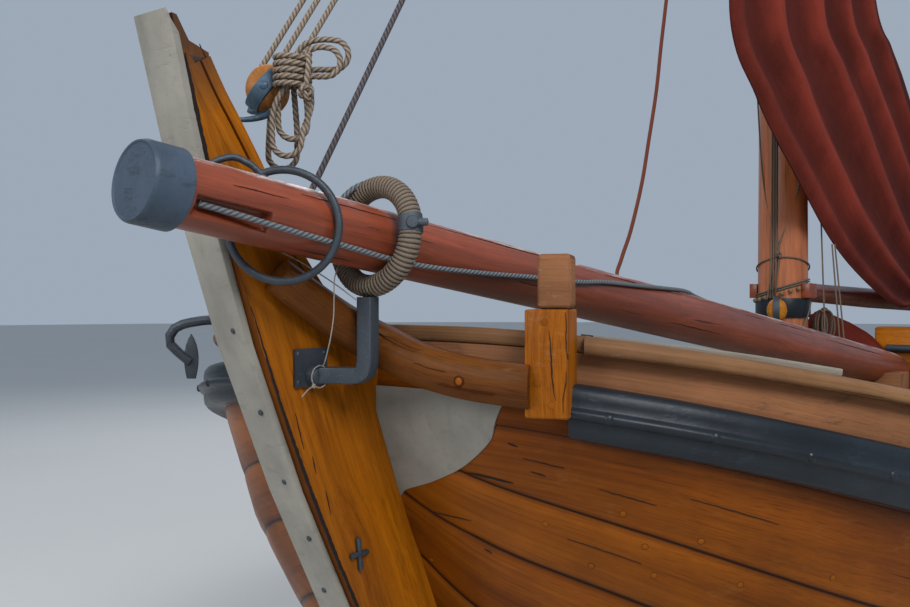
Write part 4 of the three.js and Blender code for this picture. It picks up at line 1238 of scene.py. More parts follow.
class SAILBOAT_OT_planking(bpy.types.Operator):
    """Planking of both sides, wales with their bolts, bulwarks and cap rails."""

    bl_idname = "sailboat.planking"
    bl_label = "Sides and rails"

    def execute(self, context):
        sizes = context.scene.sailboat_sizes
        for side, name in SIDES:
            piece(f"{name}_planks", hull_planks(side, sizes.seam), "plank", replaces=(f"{name}_planking",),
                  angle=28)
            first = POST_T if side > 0 else 0.0
            behind_post = max(0.0, first - 0.012)
            piece(f"{name}_wale_band", strake(WALE_SECTION, behind_post, 2.0, side), "tar",
                  replaces=(f"{name}_wale",), angle=50)
            piece(f"{name}_bulwark_plank", strake(BULWARK_SECTION, 0.0, 2.0, side), "rail",
                  replaces=(f"{name}_bulwark",))
            bm = bmesh.new()
            if side > 0:
                cap_rail(bm, NARROW_CORNERS, 0.012, 0.0, POST_T, side, 40)
            cap_rail(bm, CAP_CORNERS, 0.014, first, 2.0, side, 160)
            piece(f"{name}_cap", bm, "cap", replaces=(f"{name}_cap_rail",), angle=50)
            self.bolts(name, side, first, sizes.bolts)
        piece("port_bow_plank", strake(BOW_STRAKE_SECTION, 0.0, POST_T, 1, 50), "plank",
              replaces=("port_bow_strake",))
        return {"FINISHED"}

    def bolts(self, name, side, first, spacing):
        """Round heads along the middle of the wale, the same distance apart."""
        face = WALE_PROUD + 0.014
        bm = bmesh.new()
        t, travelled, before = first + 0.02, 0.0, None
        while t < 1.97:
            s, p = moved_out(LEVELS[-1], t, face)
            station = plan(LEVELS[-1], t)[0]
            here = at(s, side * p, lerp(wale_foot(station), wale_top(station), 0.5))
            if before is not None:
                travelled += (here - before).length
            if before is None or travelled >= spacing:
                q = moved_out(LEVELS[-1], t, face + 0.1)
                away = at(q[0], side * q[1], here.z) - here
                dome(bm, here, away, 0.013, 0.005, 8)
                travelled = 0.0
            before = here
            t += 0.0008
        piece(f"{name}_wale_bolts", bm, "tar")


def on_side(share, t):
    """Point on the port planking and the direction out of it."""
    here = at(*side_point(share, t, 0.0015))
    aft = at(*side_point(share, t + 0.004)) - at(*side_point(share, t))
    down = at(*side_point(max(0.0, share - 0.01), t)) - at(*side_point(share, t))
    out = aft.cross(down).normalized()
    if out.y < 0:
        out.negate()
    return here, out


def sliver(bm, points, normal, width, proud=0.0004):
    """Adds a narrow dark crack that lies on a surface, pointed at both ends and uneven between."""
    path = smooth_path(points, 0.004)
    last = len(path) - 1

    def spot(i, j):
        along = (path[min(i + 1, last)] - path[max(i - 1, 0)]).normalized()
        across = along.cross(normal).normalized()
        out = normal.normalized()
        share = i / last
        wide = width * math.sin(math.pi * share) ** 0.6 / 2 + 0.0001
        wide *= 1 + 0.35 * noise.noise(path[i] * 90)
        wander = across * (0.0016 * noise.noise(path[i] * 55 + Vector((7, 3, 1))))
        base = path[i] + wander + across * lerp(-wide, wide, j)
        return base + out * proud, base - out * 0.002, (share, j)

    slab(bm, last, 1, spot)


class SAILBOAT_OT_bow_marks(bpy.types.Operator):
    """Bungs, splits and the painted plate on the planking of the port bow."""

    bl_idname = "sailboat.bow_marks"
    bl_label = "Bow plate, bungs and splits"

    def execute(self, context):
        spots = ((0.305, 0.857), (0.255, 0.813), (0.239, 0.867), (0.411, 0.863), (0.012, 0.673),
                 (0.260, 0.760), (0.335, 0.800), (0.36, 0.735), (0.20, 0.735), (0.16, 0.80))
        for name, look, sunk, radius, height, steps in (
            ("planking_bungs", "bung", 0.001, 0.0085, 0.0012, 14),
            ("planking_bung_rims", "stain", 0.0012, 0.0094, 0.0009, 18),
        ):
            bm = bmesh.new()
            for t, share in spots:
                centre, out = on_side(share, t)
                dome(bm, centre - out * sunk, out, radius, height, steps)
            piece(name, bm, look)
        bm = bmesh.new()
        cracks = ((0.084, 0.134, 0.880, 0.0065), (0.03, 0.075, 0.77, 0.002), (0.15, 0.19, 0.935, 0.0018),
                  (0.137, 0.147, 0.962, 0.0035), (0.155, 0.170, 0.910, 0.003), (0.083, 0.092, 0.712, 0.003),
                  (0.22, 0.27, 0.905, 0.0016), (0.30, 0.37, 0.93, 0.0016), (0.18, 0.25, 0.78, 0.0016))
        for t0, t1, share, width in cracks:
            spine = [on_side(share - 0.004 * k / 6, lerp(t0, t1, k / 6))[0] for k in range(7)]
            sliver(bm, spine, on_side(share, (t0 + t1) / 2)[1], width)
        piece("planking_splits", bm, "crack")
        self.plate()
        return {"FINISHED"}

    def plate(self):
        """Quarter-round painted plate at the rabbet, over the planking and the bow strake's foot."""
        arc = ((0.0, 0.800), (0.008, 0.818), (0.042, 0.848), (0.080, 0.891), (0.110, 0.942),
               (0.130, 0.988), (0.1385, 1.0))
        curve = smooth_path([Vector((10 * t, share, 0)) for t, share in arc], 0.01)
        arc = [(q.x / 10, q.y) for q in curve]
        top_above, top_z, raised_from = 0.072, 2.373, 0.122
        reach = 0.1385
        columns, rows = 60, 14
        bm = bmesh.new()

        def spot(i, j):
            t = reach * (i / columns) ** 1.3
            s = plan(LEVELS[-1], t)[0]
            share = table(arc, t)[0]
            low = side_point(share, t)[2]
            high = min(wale_foot(s) + top_above, top_z + 0.006 * i / columns)
            if t > raised_from:
                low = lerp(low, high - 0.002, ((t - raised_from) / 0.0165) ** 1.4)
            z = lerp(high, low, j / rows)
            front, back = skin_point(t, z, 0.004), skin_point(t, z, -0.004)
            return at(*front), at(*back), (s, z)

        slab(bm, columns, rows, spot)
        piece("bow_plate", bm, "white", angle=50)


HEAD_FULL = ((2.86, 0.0), (2.93, 0.046), (3.074, 0.060), (3.203, 0.066), (3.3, 0.058))  # z, aft


class SAILBOAT_OT_stem(bpy.types.Operator):
    """Stem with its batten and toggle, a painted shadow along the batten, painted facing with its nails,
    sternpost and bottom.
    """

    bl_idname = "sailboat.stem"
    bl_label = "Stem and facing"

    def full_head(self, bm):
        """Carries the aft edge of the slimmed head out to the batten's back."""
        foot, solid = HEAD_FULL[0][0], 0.075
        for v in bm.verts:
            if v.co.z > foot and MID - v.co.x > stem_face(v.co.z) + solid:
                v.co.x -= table(HEAD_FULL, v.co.z)[0]

    def wide_facing(self, bm):
        """Widens the facing towards its top."""
        from_z, height = 2.2, 1.1
        for v in bm.verts:
            more = max(0.0, v.co.z - from_z) / height
            v.co.y += 0.006 * more if v.co.y > 0 else -0.016 * more

    def execute(self, context):
        rake = Vector((0.42, 0, 1))
        dressed("stem", "stem", rake, 0.004, change=self.full_head)
        dressed("stem_facing", "white", rake, 0.005, change=self.wide_facing)
        dressed("sternpost", "oak", (-0.1, 0, 1), 0.004)
        dressed("flat_bottom", "tar")
        bm = bmesh.new()
        edge = spots_at(((-0.158, 0.058, 3.205), (-0.112, 0.058, 3.130), (-0.068, 0.058, 3.069),
                         (0.022, 0.058, 2.936), (0.062, 0.058, 2.850), (0.16, 0.070, 2.710),
                         (0.30, 0.0805, 2.520)))
        path = smooth_path(edge, 0.03)
        back = Vector((-0.79, 0, -0.61))
        sweep(bm, path, bar_section(-0.006, 0.009, -0.034, -0.003, 0.004), back)
        sweep(bm, path, bar_section(-0.020, 0.0005, -0.075, -0.030, 0.001, 1), back)
        corners = ((-0.266, 3.286), (-0.253, 3.284), (-0.218, 3.230), (-0.160, 3.212), (-0.158, 3.196),
                   (-0.245, 3.196))
        layer = bm.loops.layers.uv.verify()
        head = [[bm.verts.new(at(s, p, z)) for s, z in corners] for p in (-0.0584, 0.0584)]
        bm.faces.new(head[0])
        bm.faces.new(head[1][::-1])
        for k in range(len(corners)):
            m = (k + 1) % len(corners)
            bm.faces.new((head[0][m], head[0][k], head[1][k], head[1][m]))
        for face in bm.faces:
            for loop in face.loops:
                if face.verts[0] in head[0] + head[1]:
                    loop[layer].uv = (loop.vert.co.z, loop.vert.co.x)
        piece("stem_batten", bm, "stem")
        bm = bmesh.new()
        ahead = Vector((0.79, 0, 0.61))
        # Painted shadow: a dark sliver along the batten stands for the shade in the groove in front of it.
        seam = [q + ahead * 0.037 + PORT * 0.0006 for q in path]
        sliver(bm, seam, PORT, 0.007, 0.001)
        shoulder = [at(stem_face(z) + 0.031, 0.0808, z) for z in (2.60, 2.3, 2.0, 1.7, 1.4)]
        sliver(bm, shoulder, PORT, 0.010, 0.001)
        high = [at(stem_face(z) + 0.031, 0.0592, z) for z in (3.20, 3.1, 3.0, 2.88)]
        sliver(bm, high, PORT, 0.012, 0.001)
        rake_aft = 0.30
        for s, z, tall in ((0.10, 2.32, 0.10), (0.21, 2.10, 0.07), (0.16, 2.20, 0.05), (0.30, 1.72, 0.09)):
            split = [at(s + rake_aft * h, 0.0806, z - h) for h in (0, tall / 2, tall)]
            sliver(bm, split, PORT, 0.003, 0.0006)
        piece("stem_shakes_and_batten_shadow", bm, "crack")
        bm = bmesh.new()
        for z, p in ((2.536, 0.02), (2.322, 0.024), (2.13, 0.02), (1.965, 0.03), (1.80, 0.0)):
            dome(bm, at(stem_face(z), p, z), Vector((0.93, 0, -0.36)), 0.008, 0.003, 10)
        piece("facing_nails", bm, "iron")
        bm = bmesh.new()
        middle = at(0.3355, 0.086, 1.905)
        for arm, long in ((AHEAD, 0.037), (Vector((0.12, 0, 1)).normalized(), 0.049)):
            rows = [(0, 0.0), (0.003, 0.007), (0.010, 0.0085), (long, 0.0075), (2 * long - 0.010, 0.0085),
                    (2 * long - 0.003, 0.007), (2 * long, 0.0)]
            spin_profile(bm, rows, middle - arm * long, middle + arm * long, 12)
        piece("stem_toggle", bm, "iron")
        return {"FINISHED"}


class SAILBOAT_OT_bow_timbers(bpy.types.Operator):
    """Two-part post and curved chock timber on the port bow, with their bungs and shakes."""

    bl_idname = "sailboat.bow_timbers"
    bl_label = "Bow post and chock"

    def execute(self, context):
        dressed("bow_post_lower", "oak_post", UP, 0.006)
        dressed("bow_post_upper", "post_top", (0.3, 1, 0), 0.012, change=self.slim_head)
        self.chock()
        low, high = (Vector(q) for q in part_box("bow_post_lower"))
        centre = (low + high) / 2
        for name, look, radius, height in (("post_bungs", "bung", 0.0115, 0.0014),
                                           ("post_bung_rings", "stain", 0.0132, 0.0010)):
            bm = bmesh.new()
            for across, z in ((-0.040, 2.408), (-0.005, 2.354), (-0.022, 2.56)):
                place, normal = self.on_post(centre, across, z)
                dome(bm, place - normal * 0.0006, normal, radius, height, 14)
            piece(name, bm, look)
        bm = bmesh.new()
        cracks = ((-0.012, 0.004, 2.540, 2.366, 0.003), (0.028, 0.034, 2.585, 2.47, 0.0018),
                  (0.030, 0.022, 2.44, 2.335, 0.002))
        for u0, u1, top, foot, width in cracks:
            spine = []
            for k in range(9):
                q = k / 8
                across = lerp(u0, u1, q) + 0.002 * math.sin(7 * q)
                spot, normal = self.on_post(centre, across, lerp(top, foot, q))
                spine.append(spot)
            sliver(bm, spine, normal, width, 0.0012)
        piece("post_cracks", bm, "crack")
        return {"FINISHED"}

    def slim_head(self, bm):
        """Draws the head of the post in on the side of the stem."""
        drawn_in = 0.22
        right = max(v.co.dot(TO_RIGHT) for v in bm.verts)
        for v in bm.verts:
            v.co += TO_RIGHT * ((right - v.co.dot(TO_RIGHT)) * drawn_in)

    def chock(self):
        """Curved half-round timber from the post to the stem, slimmer towards the stem."""
        line = spots_at(((0.383, 0.628, 2.3995), (0.372, 0.592, 2.401), (0.345, 0.450, 2.415),
                         (0.320, 0.310, 2.446), (0.298, 0.205, 2.490), (0.252, 0.148, 2.530),
                         (0.195, 0.127, 2.566), (0.050, 0.118, 2.650), (0.010, 0.112, 2.676)))
        path = smooth_path(line, 0.014)
        section = [(0.040, -0.047), (0.040, 0.047), (0.034, 0.054)]
        for k in range(11):
            a = math.radians(90 - 18 * k)
            section.append((-0.004 - 0.038 * math.cos(a) ** 0.8, 0.056 * math.sin(a)))
        section.append((0.034, -0.054))
        bm = bmesh.new()
        sweep(bm, path, section, UP, scale=lambda q: 1 - 0.18 * max(0.0, q - 0.55) / 0.45)
        piece("chock_timber", bm, "chock", replaces=("bow_chock_timber",), angle=50)
        bm = bmesh.new()
        front = Vector((1, 0.12, 0)).normalized()
        bung = at(0.345 - 0.0425, 0.462, 2.409)
        dome(bm, bung - front * 0.001, front, 0.0115, 0.0020, 16)
        piece("chock_bung", bm, "bung")
        bm = bmesh.new()
        dome(bm, bung - front * 0.001, front, 0.0150, 0.0012, 18)
        shakes = ((0.40, 0.56, 2.396, 0.0025), (0.22, 0.36, 2.470, 0.0022), (0.33, 0.43, 2.431, 0.002))
        for p0, p1, z, width in shakes:
            spine = []
            for k in range(7):
                p = lerp(p0, p1, k / 6)
                near = min(path, key=lambda q: abs(q.y - p))
                spine.append(Vector((near.x + 0.0418, p, near.z + z - 2.42)))
            sliver(bm, spine, AHEAD, width, 0.0015)
        piece("chock_shakes", bm, "stain")

    def on_post(self, centre, across, z):
        """Point on the fore face of the post and the direction out of it."""
        start = Vector((centre.x, centre.y, z)) + TO_RIGHT * across + TO_BOW * 0.5
        return landing("bow_post_lower", start, -TO_BOW)


# Bowsprit and its fittings

SPRIT_A = at(-0.344, 0.169, 2.858)
SPRIT_B = at(4.120, 0.526, 2.224)
SPRIT_LONG = (SPRIT_B - SPRIT_A).length
SPRIT_AXIS = (SPRIT_B - SPRIT_A).normalized()
SPRIT_UP = (UP - SPRIT_AXIS * SPRIT_AXIS.z).normalized()
SPRIT_PORT = SPRIT_AXIS.cross(SPRIT_UP) * (1 if SPRIT_AXIS.cross(SPRIT_UP).y > 0 else -1)
SPRIT_RADII = ((0, 0.082), (0.35, 0.084), (1.5, 0.087), (3.0, 0.094), (4.0, 0.092), (4.525, 0.090))
SLOT = {"start": 0.012, "end": 0.217, "low": -44.0, "high": -9.0, "deep": 0.030}


def on_sprit(along, angle, out=0.0):
    """Point on the bowsprit: metres from its head, degrees up from its port side, metres off it."""
    radius = table(SPRIT_RADII, along)[0] + out
    a = math.radians(angle)
    return SPRIT_A + SPRIT_AXIS * along + (SPRIT_PORT * math.cos(a) + SPRIT_UP * math.sin(a)) * radius


def sprit_mesh():
    """Spar with the outhaul's slot cut in its port side."""
    marks = [0.0]
    while marks[-1] < SPRIT_LONG - 0.02:
        marks.append(marks[-1] + (0.005 if marks[-1] < 0.25 else 0.02 if marks[-1] < 1.2 else 0.06))
    marks[-1] = SPRIT_LONG
    angles = [-180 + 6 * k for k in range(22)] + [-50 + 2.5 * k for k in range(20)]
    angles += [6 * k for k in range(30)]
    angles = sorted({round(a, 1) for a in angles})

    def place(i, j):
        along, angle = marks[i], angles[j % len(angles)]
        inside = min((along - SLOT["start"]) / 0.008, (SLOT["end"] - along) / 0.012,
                     (angle - SLOT["low"]) / 3.2, (SLOT["high"] - angle) / 3.2)
        depth = SLOT["deep"] * min(1.0, max(0.0, inside)) ** 1.5
        wave = 0.0016 * noise.noise(Vector((along * 3, angle * 0.03, 2.0)))
        rim = 0.004 if i in (0, len(marks) - 1) else 0.0
        return on_sprit(along, angle, wave - depth - rim), (along, math.radians(angle) * 0.085)

    bm = bmesh.new()
    grid(bm, len(marks) - 1, len(angles), place, wrap=True)
    close(bm)
    return bm


THIN_LINE = ((0.1237, 0.200, 2.666), (0.1172, 0.205, 2.615), (0.1155, 0.205, 2.572), (0.1065, 0.205, 2.526),
             (0.1097, 0.190, 2.486), (0.1248, 0.160, 2.448), (0.146, 0.128, 2.4435))
SPRIT_SPAN = 4.464  # its length seen from the side
RING_CENTRE = SPRIT_A + (SPRIT_B - SPRIT_A) * (0.600 / SPRIT_SPAN) + Vector((0, 0.002, 0.010))
RING_RADIUS = 0.133


class SAILBOAT_OT_bowsprit(bpy.types.Operator):
    """Bowsprit with its slot, outhaul, cap, traveller, served ring, bracket and chock."""

    bl_idname = "sailboat.bowsprit"
    bl_label = "Bowsprit"

    def execute(self, context):
        sizes = context.scene.sailboat_sizes
        piece("bowsprit_spar", sprit_mesh(), "spar", body="bowsprit", replaces=("bowsprit",), angle=35)
        bm = bmesh.new()
        rows = [(0.0, 0.0), (0.0, 0.091), (0.003, 0.0945), (0.088, 0.0935), (0.094, 0.0915), (0.0980, 0.0885),
                (0.0972, 0.0850), (0.0950, 0.0825), (0.0955, 0.05), (0.0962, 0.0)]
        start = SPRIT_A - SPRIT_AXIS * GAP
        spin_profile(bm, rows, start, start - SPRIT_AXIS, 40)
        piece("bowsprit_head", bm, "head_paint", body="bowsprit", replaces=("bowsprit_cap",), angle=25)
        slivers = ((0.30, 0.62, 38, 0.004), (0.75, 1.30, 52, 0.004), (1.6, 2.3, 48, 0.004),
                   (2.6, 3.3, 40, 0.005), (0.10, 0.26, 20, 0.003), (1.0, 1.4, -22, 0.003),
                   (2.0, 2.4, -30, 0.003), (3.4, 4.2, 30, 0.005), (0.33, 0.50, -64, 0.003),
                   (0.5, 0.75, 8, 0.003), (3.0, 3.6, 62, 0.004))
        bm = bmesh.new()
        for a, b, angle, width in slivers:
            spine = [on_sprit(lerp(a, b, k / 8), angle + 0.9 * k / 8) for k in range(9)]
            middle = SPRIT_A + SPRIT_AXIS * (a + b) / 2
            sliver(bm, spine, on_sprit((a + b) / 2, angle) - middle, width)
        piece("bowsprit_shakes", bm, "crack", body="bowsprit", slot="varnished_spar")
        self.outhaul(sizes.outhaul)
        self.traveller()
        self.served(sizes.serving)
        self.bracket()
        dressed("heel_chock", "rail", PORT, 0.006)
        return {"FINISHED"}

    def outhaul(self, diameter):
        """Rope out of the slot and along the spar, ended in a knot."""
        r = diameter / 2 + 0.0008
        course = ((0.030, -25, -0.018), (0.09, -26, -0.012), (0.20, -27, 0.002), (0.27, -28, r),
                  (0.464, -32, r), (0.667, -35, r + 0.002), (0.908, -24, r + 0.003), (1.184, -6.5, r),
                  (1.396, 5, r), (1.56, 20, r), (1.782, 34, r), (2.0, 52, r), (2.2, 78, r), (2.4, 105, r),
                  (2.9, 128, r), (3.9, 140, r))
        rope("outhaul", [on_sprit(*q) for q in course], diameter, "outhaul", "bowsprit", laid=True)
        knotted("outhaul_knot", "outhaul", on_sprit(3.93, 140, 0.016), 0.014, diameter * 0.42, "bowsprit")

    def traveller(self):
        """Ring round the spar, with the hook that the sail's corner goes on."""
        bm = bmesh.new()
        middle = SPRIT_A + (SPRIT_B - SPRIT_A) * (0.300 / SPRIT_SPAN) - UP * 0.020
        ring(bm, middle, TO_BOW, 0.1355, 0.010, 72, 12)
        hook = spots_at(((-0.071, 0.160, 2.910), (-0.086, 0.144, 2.932), (-0.102, 0.130, 2.947),
                         (-0.130, 0.110, 2.959), (-0.170, 0.091, 2.945), (-0.195, 0.088, 2.919)))
        path = smooth_path(hook, 0.006)
        whole = (len(path) - 1) * 0.006
        tube(bm, path, lambda d: 0.0085 - 0.0035 * max(0.0, d / whole - 0.75) * 4, 12)
        piece("traveller_ring", bm, "iron", body="bowsprit", replaces=("traveller",), angle=60)

    def bracket(self):
        """Square bar bent up from a boss on the stem's plate, with a thin line tied to it."""
        top = RING_CENTRE.z - 0.1602
        line = spots_at(((0.150, 0.092, 2.416), (0.185, 0.122, 2.4155), (0.205, 0.155, 2.415),
                         (0.217, 0.190, 2.416), (0.2215, 0.2135, 2.426), (0.2225, 0.2215, 2.446),
                         (0.2225, 0.224, 2.475), (0.2225, 0.224, 2.54), (0.2225, 0.224, top)))
        bm = bmesh.new()
        square = bar_section(-0.022, 0.022, -0.022, 0.022, 0.005)
        sweep(bm, smooth_path(line, 0.006), square, UP)
        plate = bar_section(-0.058, 0.058, -0.050, 0.050, 0.004)
        middle = at(0.150, 0.0807, 2.437)
        sweep(bm, [middle + Vector((0, 0.0045 * k, 0)) for k in range(3)], plate, UP)
        spin_profile(bm, [(0, 0), (0, 0.025), (0.024, 0.0245), (0.030, 0.020), (0.033, 0.0)],
                     at(0.150, 0.088, 2.416), at(0.150, 0.2, 2.416), 24)
        for s, z in ((0.103, 2.474), (0.197, 2.474), (0.103, 2.400)):
            dome(bm, at(s, 0.0895, z), PORT, 0.007, 0.003, 10)
        piece("bracket_bar", bm, "iron", replaces=("bowsprit_bracket",), angle=45)
        lines = (
            ("thin_line_a", spots_at(((-0.03, 0.072, 2.765), (0.0439, 0.138, 2.7195), (0.1500, 0.168, 2.660),
                                      (0.1985, 0.205, 2.6150)))),
            ("thin_line_b", [on_sprit(0.50, -96, 0.0068), *spots_at(THIN_LINE)]),
            ("thin_line_c", spots_at(((0.1230, 0.126, 2.392), (0.100, 0.128, 2.383),
                                      (0.078, 0.128, 2.366)))),
        )
        for name, spots in lines:
            rope(name, spots, 0.0032, "string", step=0.008)
        bm = bmesh.new()
        ring(bm, at(0.146, 0.124, 2.414), PORT, 0.029, 0.0016, 32, 6)
        knot(bm, at(0.122, 0.126, 2.391), 0.0035, 0.0018)
        piece("thin_line_loop", bm, "string", angle=180)

    def served(self, turns):
        """Iron ring wound with line, with its strop and its shackle."""
        steps, sides = turns * 6, 14
        turn = SPRIT_AXIS.to_track_quat("Z", "Y").to_matrix()

        def place(i, j):
            a, b = 2 * math.pi * i / steps, 2 * math.pi * j / sides
            crown = abs(math.sin(turns * a / 2 + b / 2))
            wander = 0.0006 * noise.noise(Vector((a * 20, b, 0)))
            bar = 0.0262 + 0.0044 * crown**0.6 + wander
            r = RING_RADIUS + bar * math.cos(b)
            spot = Vector((r * math.cos(a), r * math.sin(a), bar * math.sin(b)))
            return RING_CENTRE + turn @ spot, (a * RING_RADIUS, j / sides)

        # Hollows between the turns, painted as shade by the serving finish.
        def hollow(i, j):
            return 1 - abs(math.sin(turns * math.pi * i / steps + math.pi * j / sides))

        bm = bmesh.new()
        grid(bm, steps, sides, place, wrap=True, groove=hollow)
        piece("ring_serving", bm, "serving", replaces=("served_ring",), angle=180)
        head = RING_CENTRE + UP * RING_RADIUS
        strop = [head + TO_RIGHT * u + UP * (z + 0.006) + TO_BOW * w
                 for u, z, w in ((-0.110, -0.062, -0.010), (-0.062, -0.010, -0.034), (-0.010, 0.010, -0.040),
                                 (0.045, 0.002, -0.040), (0.085, -0.035, -0.036), (0.108, -0.085, -0.030))]
        rope("ring_strop", strop, 0.015, "outhaul", laid=True)
        bm = bmesh.new()
        arc = []
        for k in range(13):
            a = math.radians(2.5 + 1.5 * k)
            arc.append(RING_CENTRE + (SPRIT_PORT * math.cos(a) + SPRIT_UP * math.sin(a)) * RING_RADIUS)
        tube(bm, arc, 0.0322, 24)
        centre = arc[7] + TO_BOW * 0.030 + TO_RIGHT * 0.006
        spin_profile(bm, [(0, 0), (0, 0.017), (0.006, 0.017), (0.012, 0.014), (0.014, 0.0)],
                     centre, centre + TO_BOW, 20)
        spin_profile(bm, [(0, 0), (0, 0.010), (0.034, 0.010), (0.037, 0.0)], centre + TO_RIGHT * 0.004,
                     centre + TO_RIGHT, 14)
        piece("ring_shackle", bm, "iron")


# Tackle at the stem


BLOCK_FOOT = at(0.070, 0, 3.118)
BLOCK_HEAD = at(0.086, 0, 3.218)


def block_mesh(bm, foot, head, face, wide, long, thick):
    """Adds a rope block's shell: two rounded cheeks with a swallow between them."""
    up = (head - foot).normalized()
    face = (face - up * face.dot(up)).normalized()
    across = up.cross(face)
    centre = (foot + head) / 2
    rings, steps = 14, 36

    def place(i, j):
        a, b = math.pi * i / rings, 2 * math.pi * j / steps
        flat = math.sin(a) ** 0.55
        x = across * (math.cos(b) * wide * flat) + up * (math.sin(b) * long * flat)
        slot = 0.16 if abs(math.cos(a)) < 0.30 and abs(math.sin(b)) < 0.93 else 0.0
        return centre + x * (1 - slot) + face * (math.cos(a) * thick), (a * 0.05, b * 0.05)

    grid(bm, rings, steps, place, wrap=True)


class SAILBOAT_OT_tackle(bpy.types.Operator):
    """Block at the stem head with its strap and hook, the tackle's running parts and the forestay."""

    bl_idname = "sailboat.tackle"
    bl_label = "Bow tackle and forestay"

    def execute(self, context):
        size = context.scene.sailboat_sizes.rope
        centre = (BLOCK_FOOT + BLOCK_HEAD) / 2
        up = (BLOCK_HEAD - BLOCK_FOOT).normalized()
        bm = bmesh.new()
        block_mesh(bm, BLOCK_FOOT, BLOCK_HEAD, TO_BOW, 0.058, 0.067, 0.050)
        piece("block_shell", bm, "block", replaces=("tackle_block",), angle=55)
        bm = bmesh.new()
        tilt = (up * 0.82 + TO_RIGHT * 0.57).normalized()
        band = hoop(centre, tilt * 0.064, TO_BOW * 0.0565)
        section = bar_section(-0.020, 0.020, -0.003, 0.003, 0.002, 2)
        sweep(bm, band, section, tilt, closed=False)
        spin_profile(bm, [(0, 0), (0, 0.013), (0.004, 0.013), (0.007, 0.009), (0.008, 0)],
                     centre + TO_BOW * 0.054, centre + TO_BOW, 16)
        hook = spots_at(((0.066, 0.012, 3.112), (0.056, 0.03, 3.100), (0.030, 0.038, 3.088),
                         (-0.008, 0.034, 3.076), (-0.040, 0.020, 3.071), (-0.044, 0, 3.0712),
                         (-0.042, -0.020, 3.073), (-0.033, -0.029, 3.088)))
        hook = smooth_path(hook, 0.005)
        tube(bm, hook, lambda d: 0.0085 - 0.0025 * min(1.0, max(0.0, d - 0.07) / 0.06), 12)
        tube(bm, smooth_path([centre - tilt * 0.058, centre - tilt * 0.070 - up * 0.002,
                              at(0.064, 0.014, 3.110)], 0.005), 0.009, 12)
        piece("block_strap", bm, "block_iron", angle=60)
        dressed("stem_eye", "iron", AHEAD)
        self.parts(size, centre, up)
        stay = [at(0.134, 0, 2.7533), at(3.758, 0, 8.580)]
        rope("forestay_wire", [stay[0], (stay[0] + stay[1]) / 2, stay[1]], 0.018, "wire", step=0.05)
        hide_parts("forestay")
        return {"FINISHED"}

    def parts(self, size, centre, up):
        """Three parts of the tackle, up to their block below the hounds."""
        high = at(3.60, 0, 8.20)
        feet = (centre + up * 0.030 - TO_RIGHT * 0.044 - TO_BOW * 0.012,
                centre + up * 0.050 + TO_RIGHT * 0.004 - TO_BOW * 0.016,
                centre + up * 0.052 + TO_RIGHT * 0.050 - TO_BOW * 0.030)
        for k, foot in enumerate(feet):
            end = high + Vector((0, 0.035 * (k - 1), -0.02 * k))
            whole = end - foot
            spots = [foot, foot + whole * 0.08, foot + whole * 0.5, end]
            rope(f"tackle_part_{k}", spots, size, "rope", step=0.012)
        bm = bmesh.new()
        block_mesh(bm, at(3.60, 0, 8.14), at(3.68, 0, 8.30), PORT, 0.055, 0.085, 0.05)
        piece("upper_block_shell", bm, "block", angle=55)
        bm = bmesh.new()
        tube(bm, smooth_path([at(3.66, 0, 8.29), at(3.70, 0, 8.36), at(3.768, 0, 8.42)], 0.01), 0.008, 10)
        piece("upper_block_link", bm, "iron")


# Mast, rig and sail


MAST_S = 3.880


def mast_radius(z):
    rows = ((0.2, 0.130), (1.8, 0.135), (2.8, 0.135), (5.8, 0.118), (8.49, 0.098), (10.6, 0.070))
    return table(rows, z)[0]


def on_mast(z, angle, out=0.0):
    """Point on the mast: degrees from the bow towards port."""
    a = math.radians(angle)
    r = mast_radius(z) + out
    return at(MAST_S - r * math.cos(a), r * math.sin(a), z)


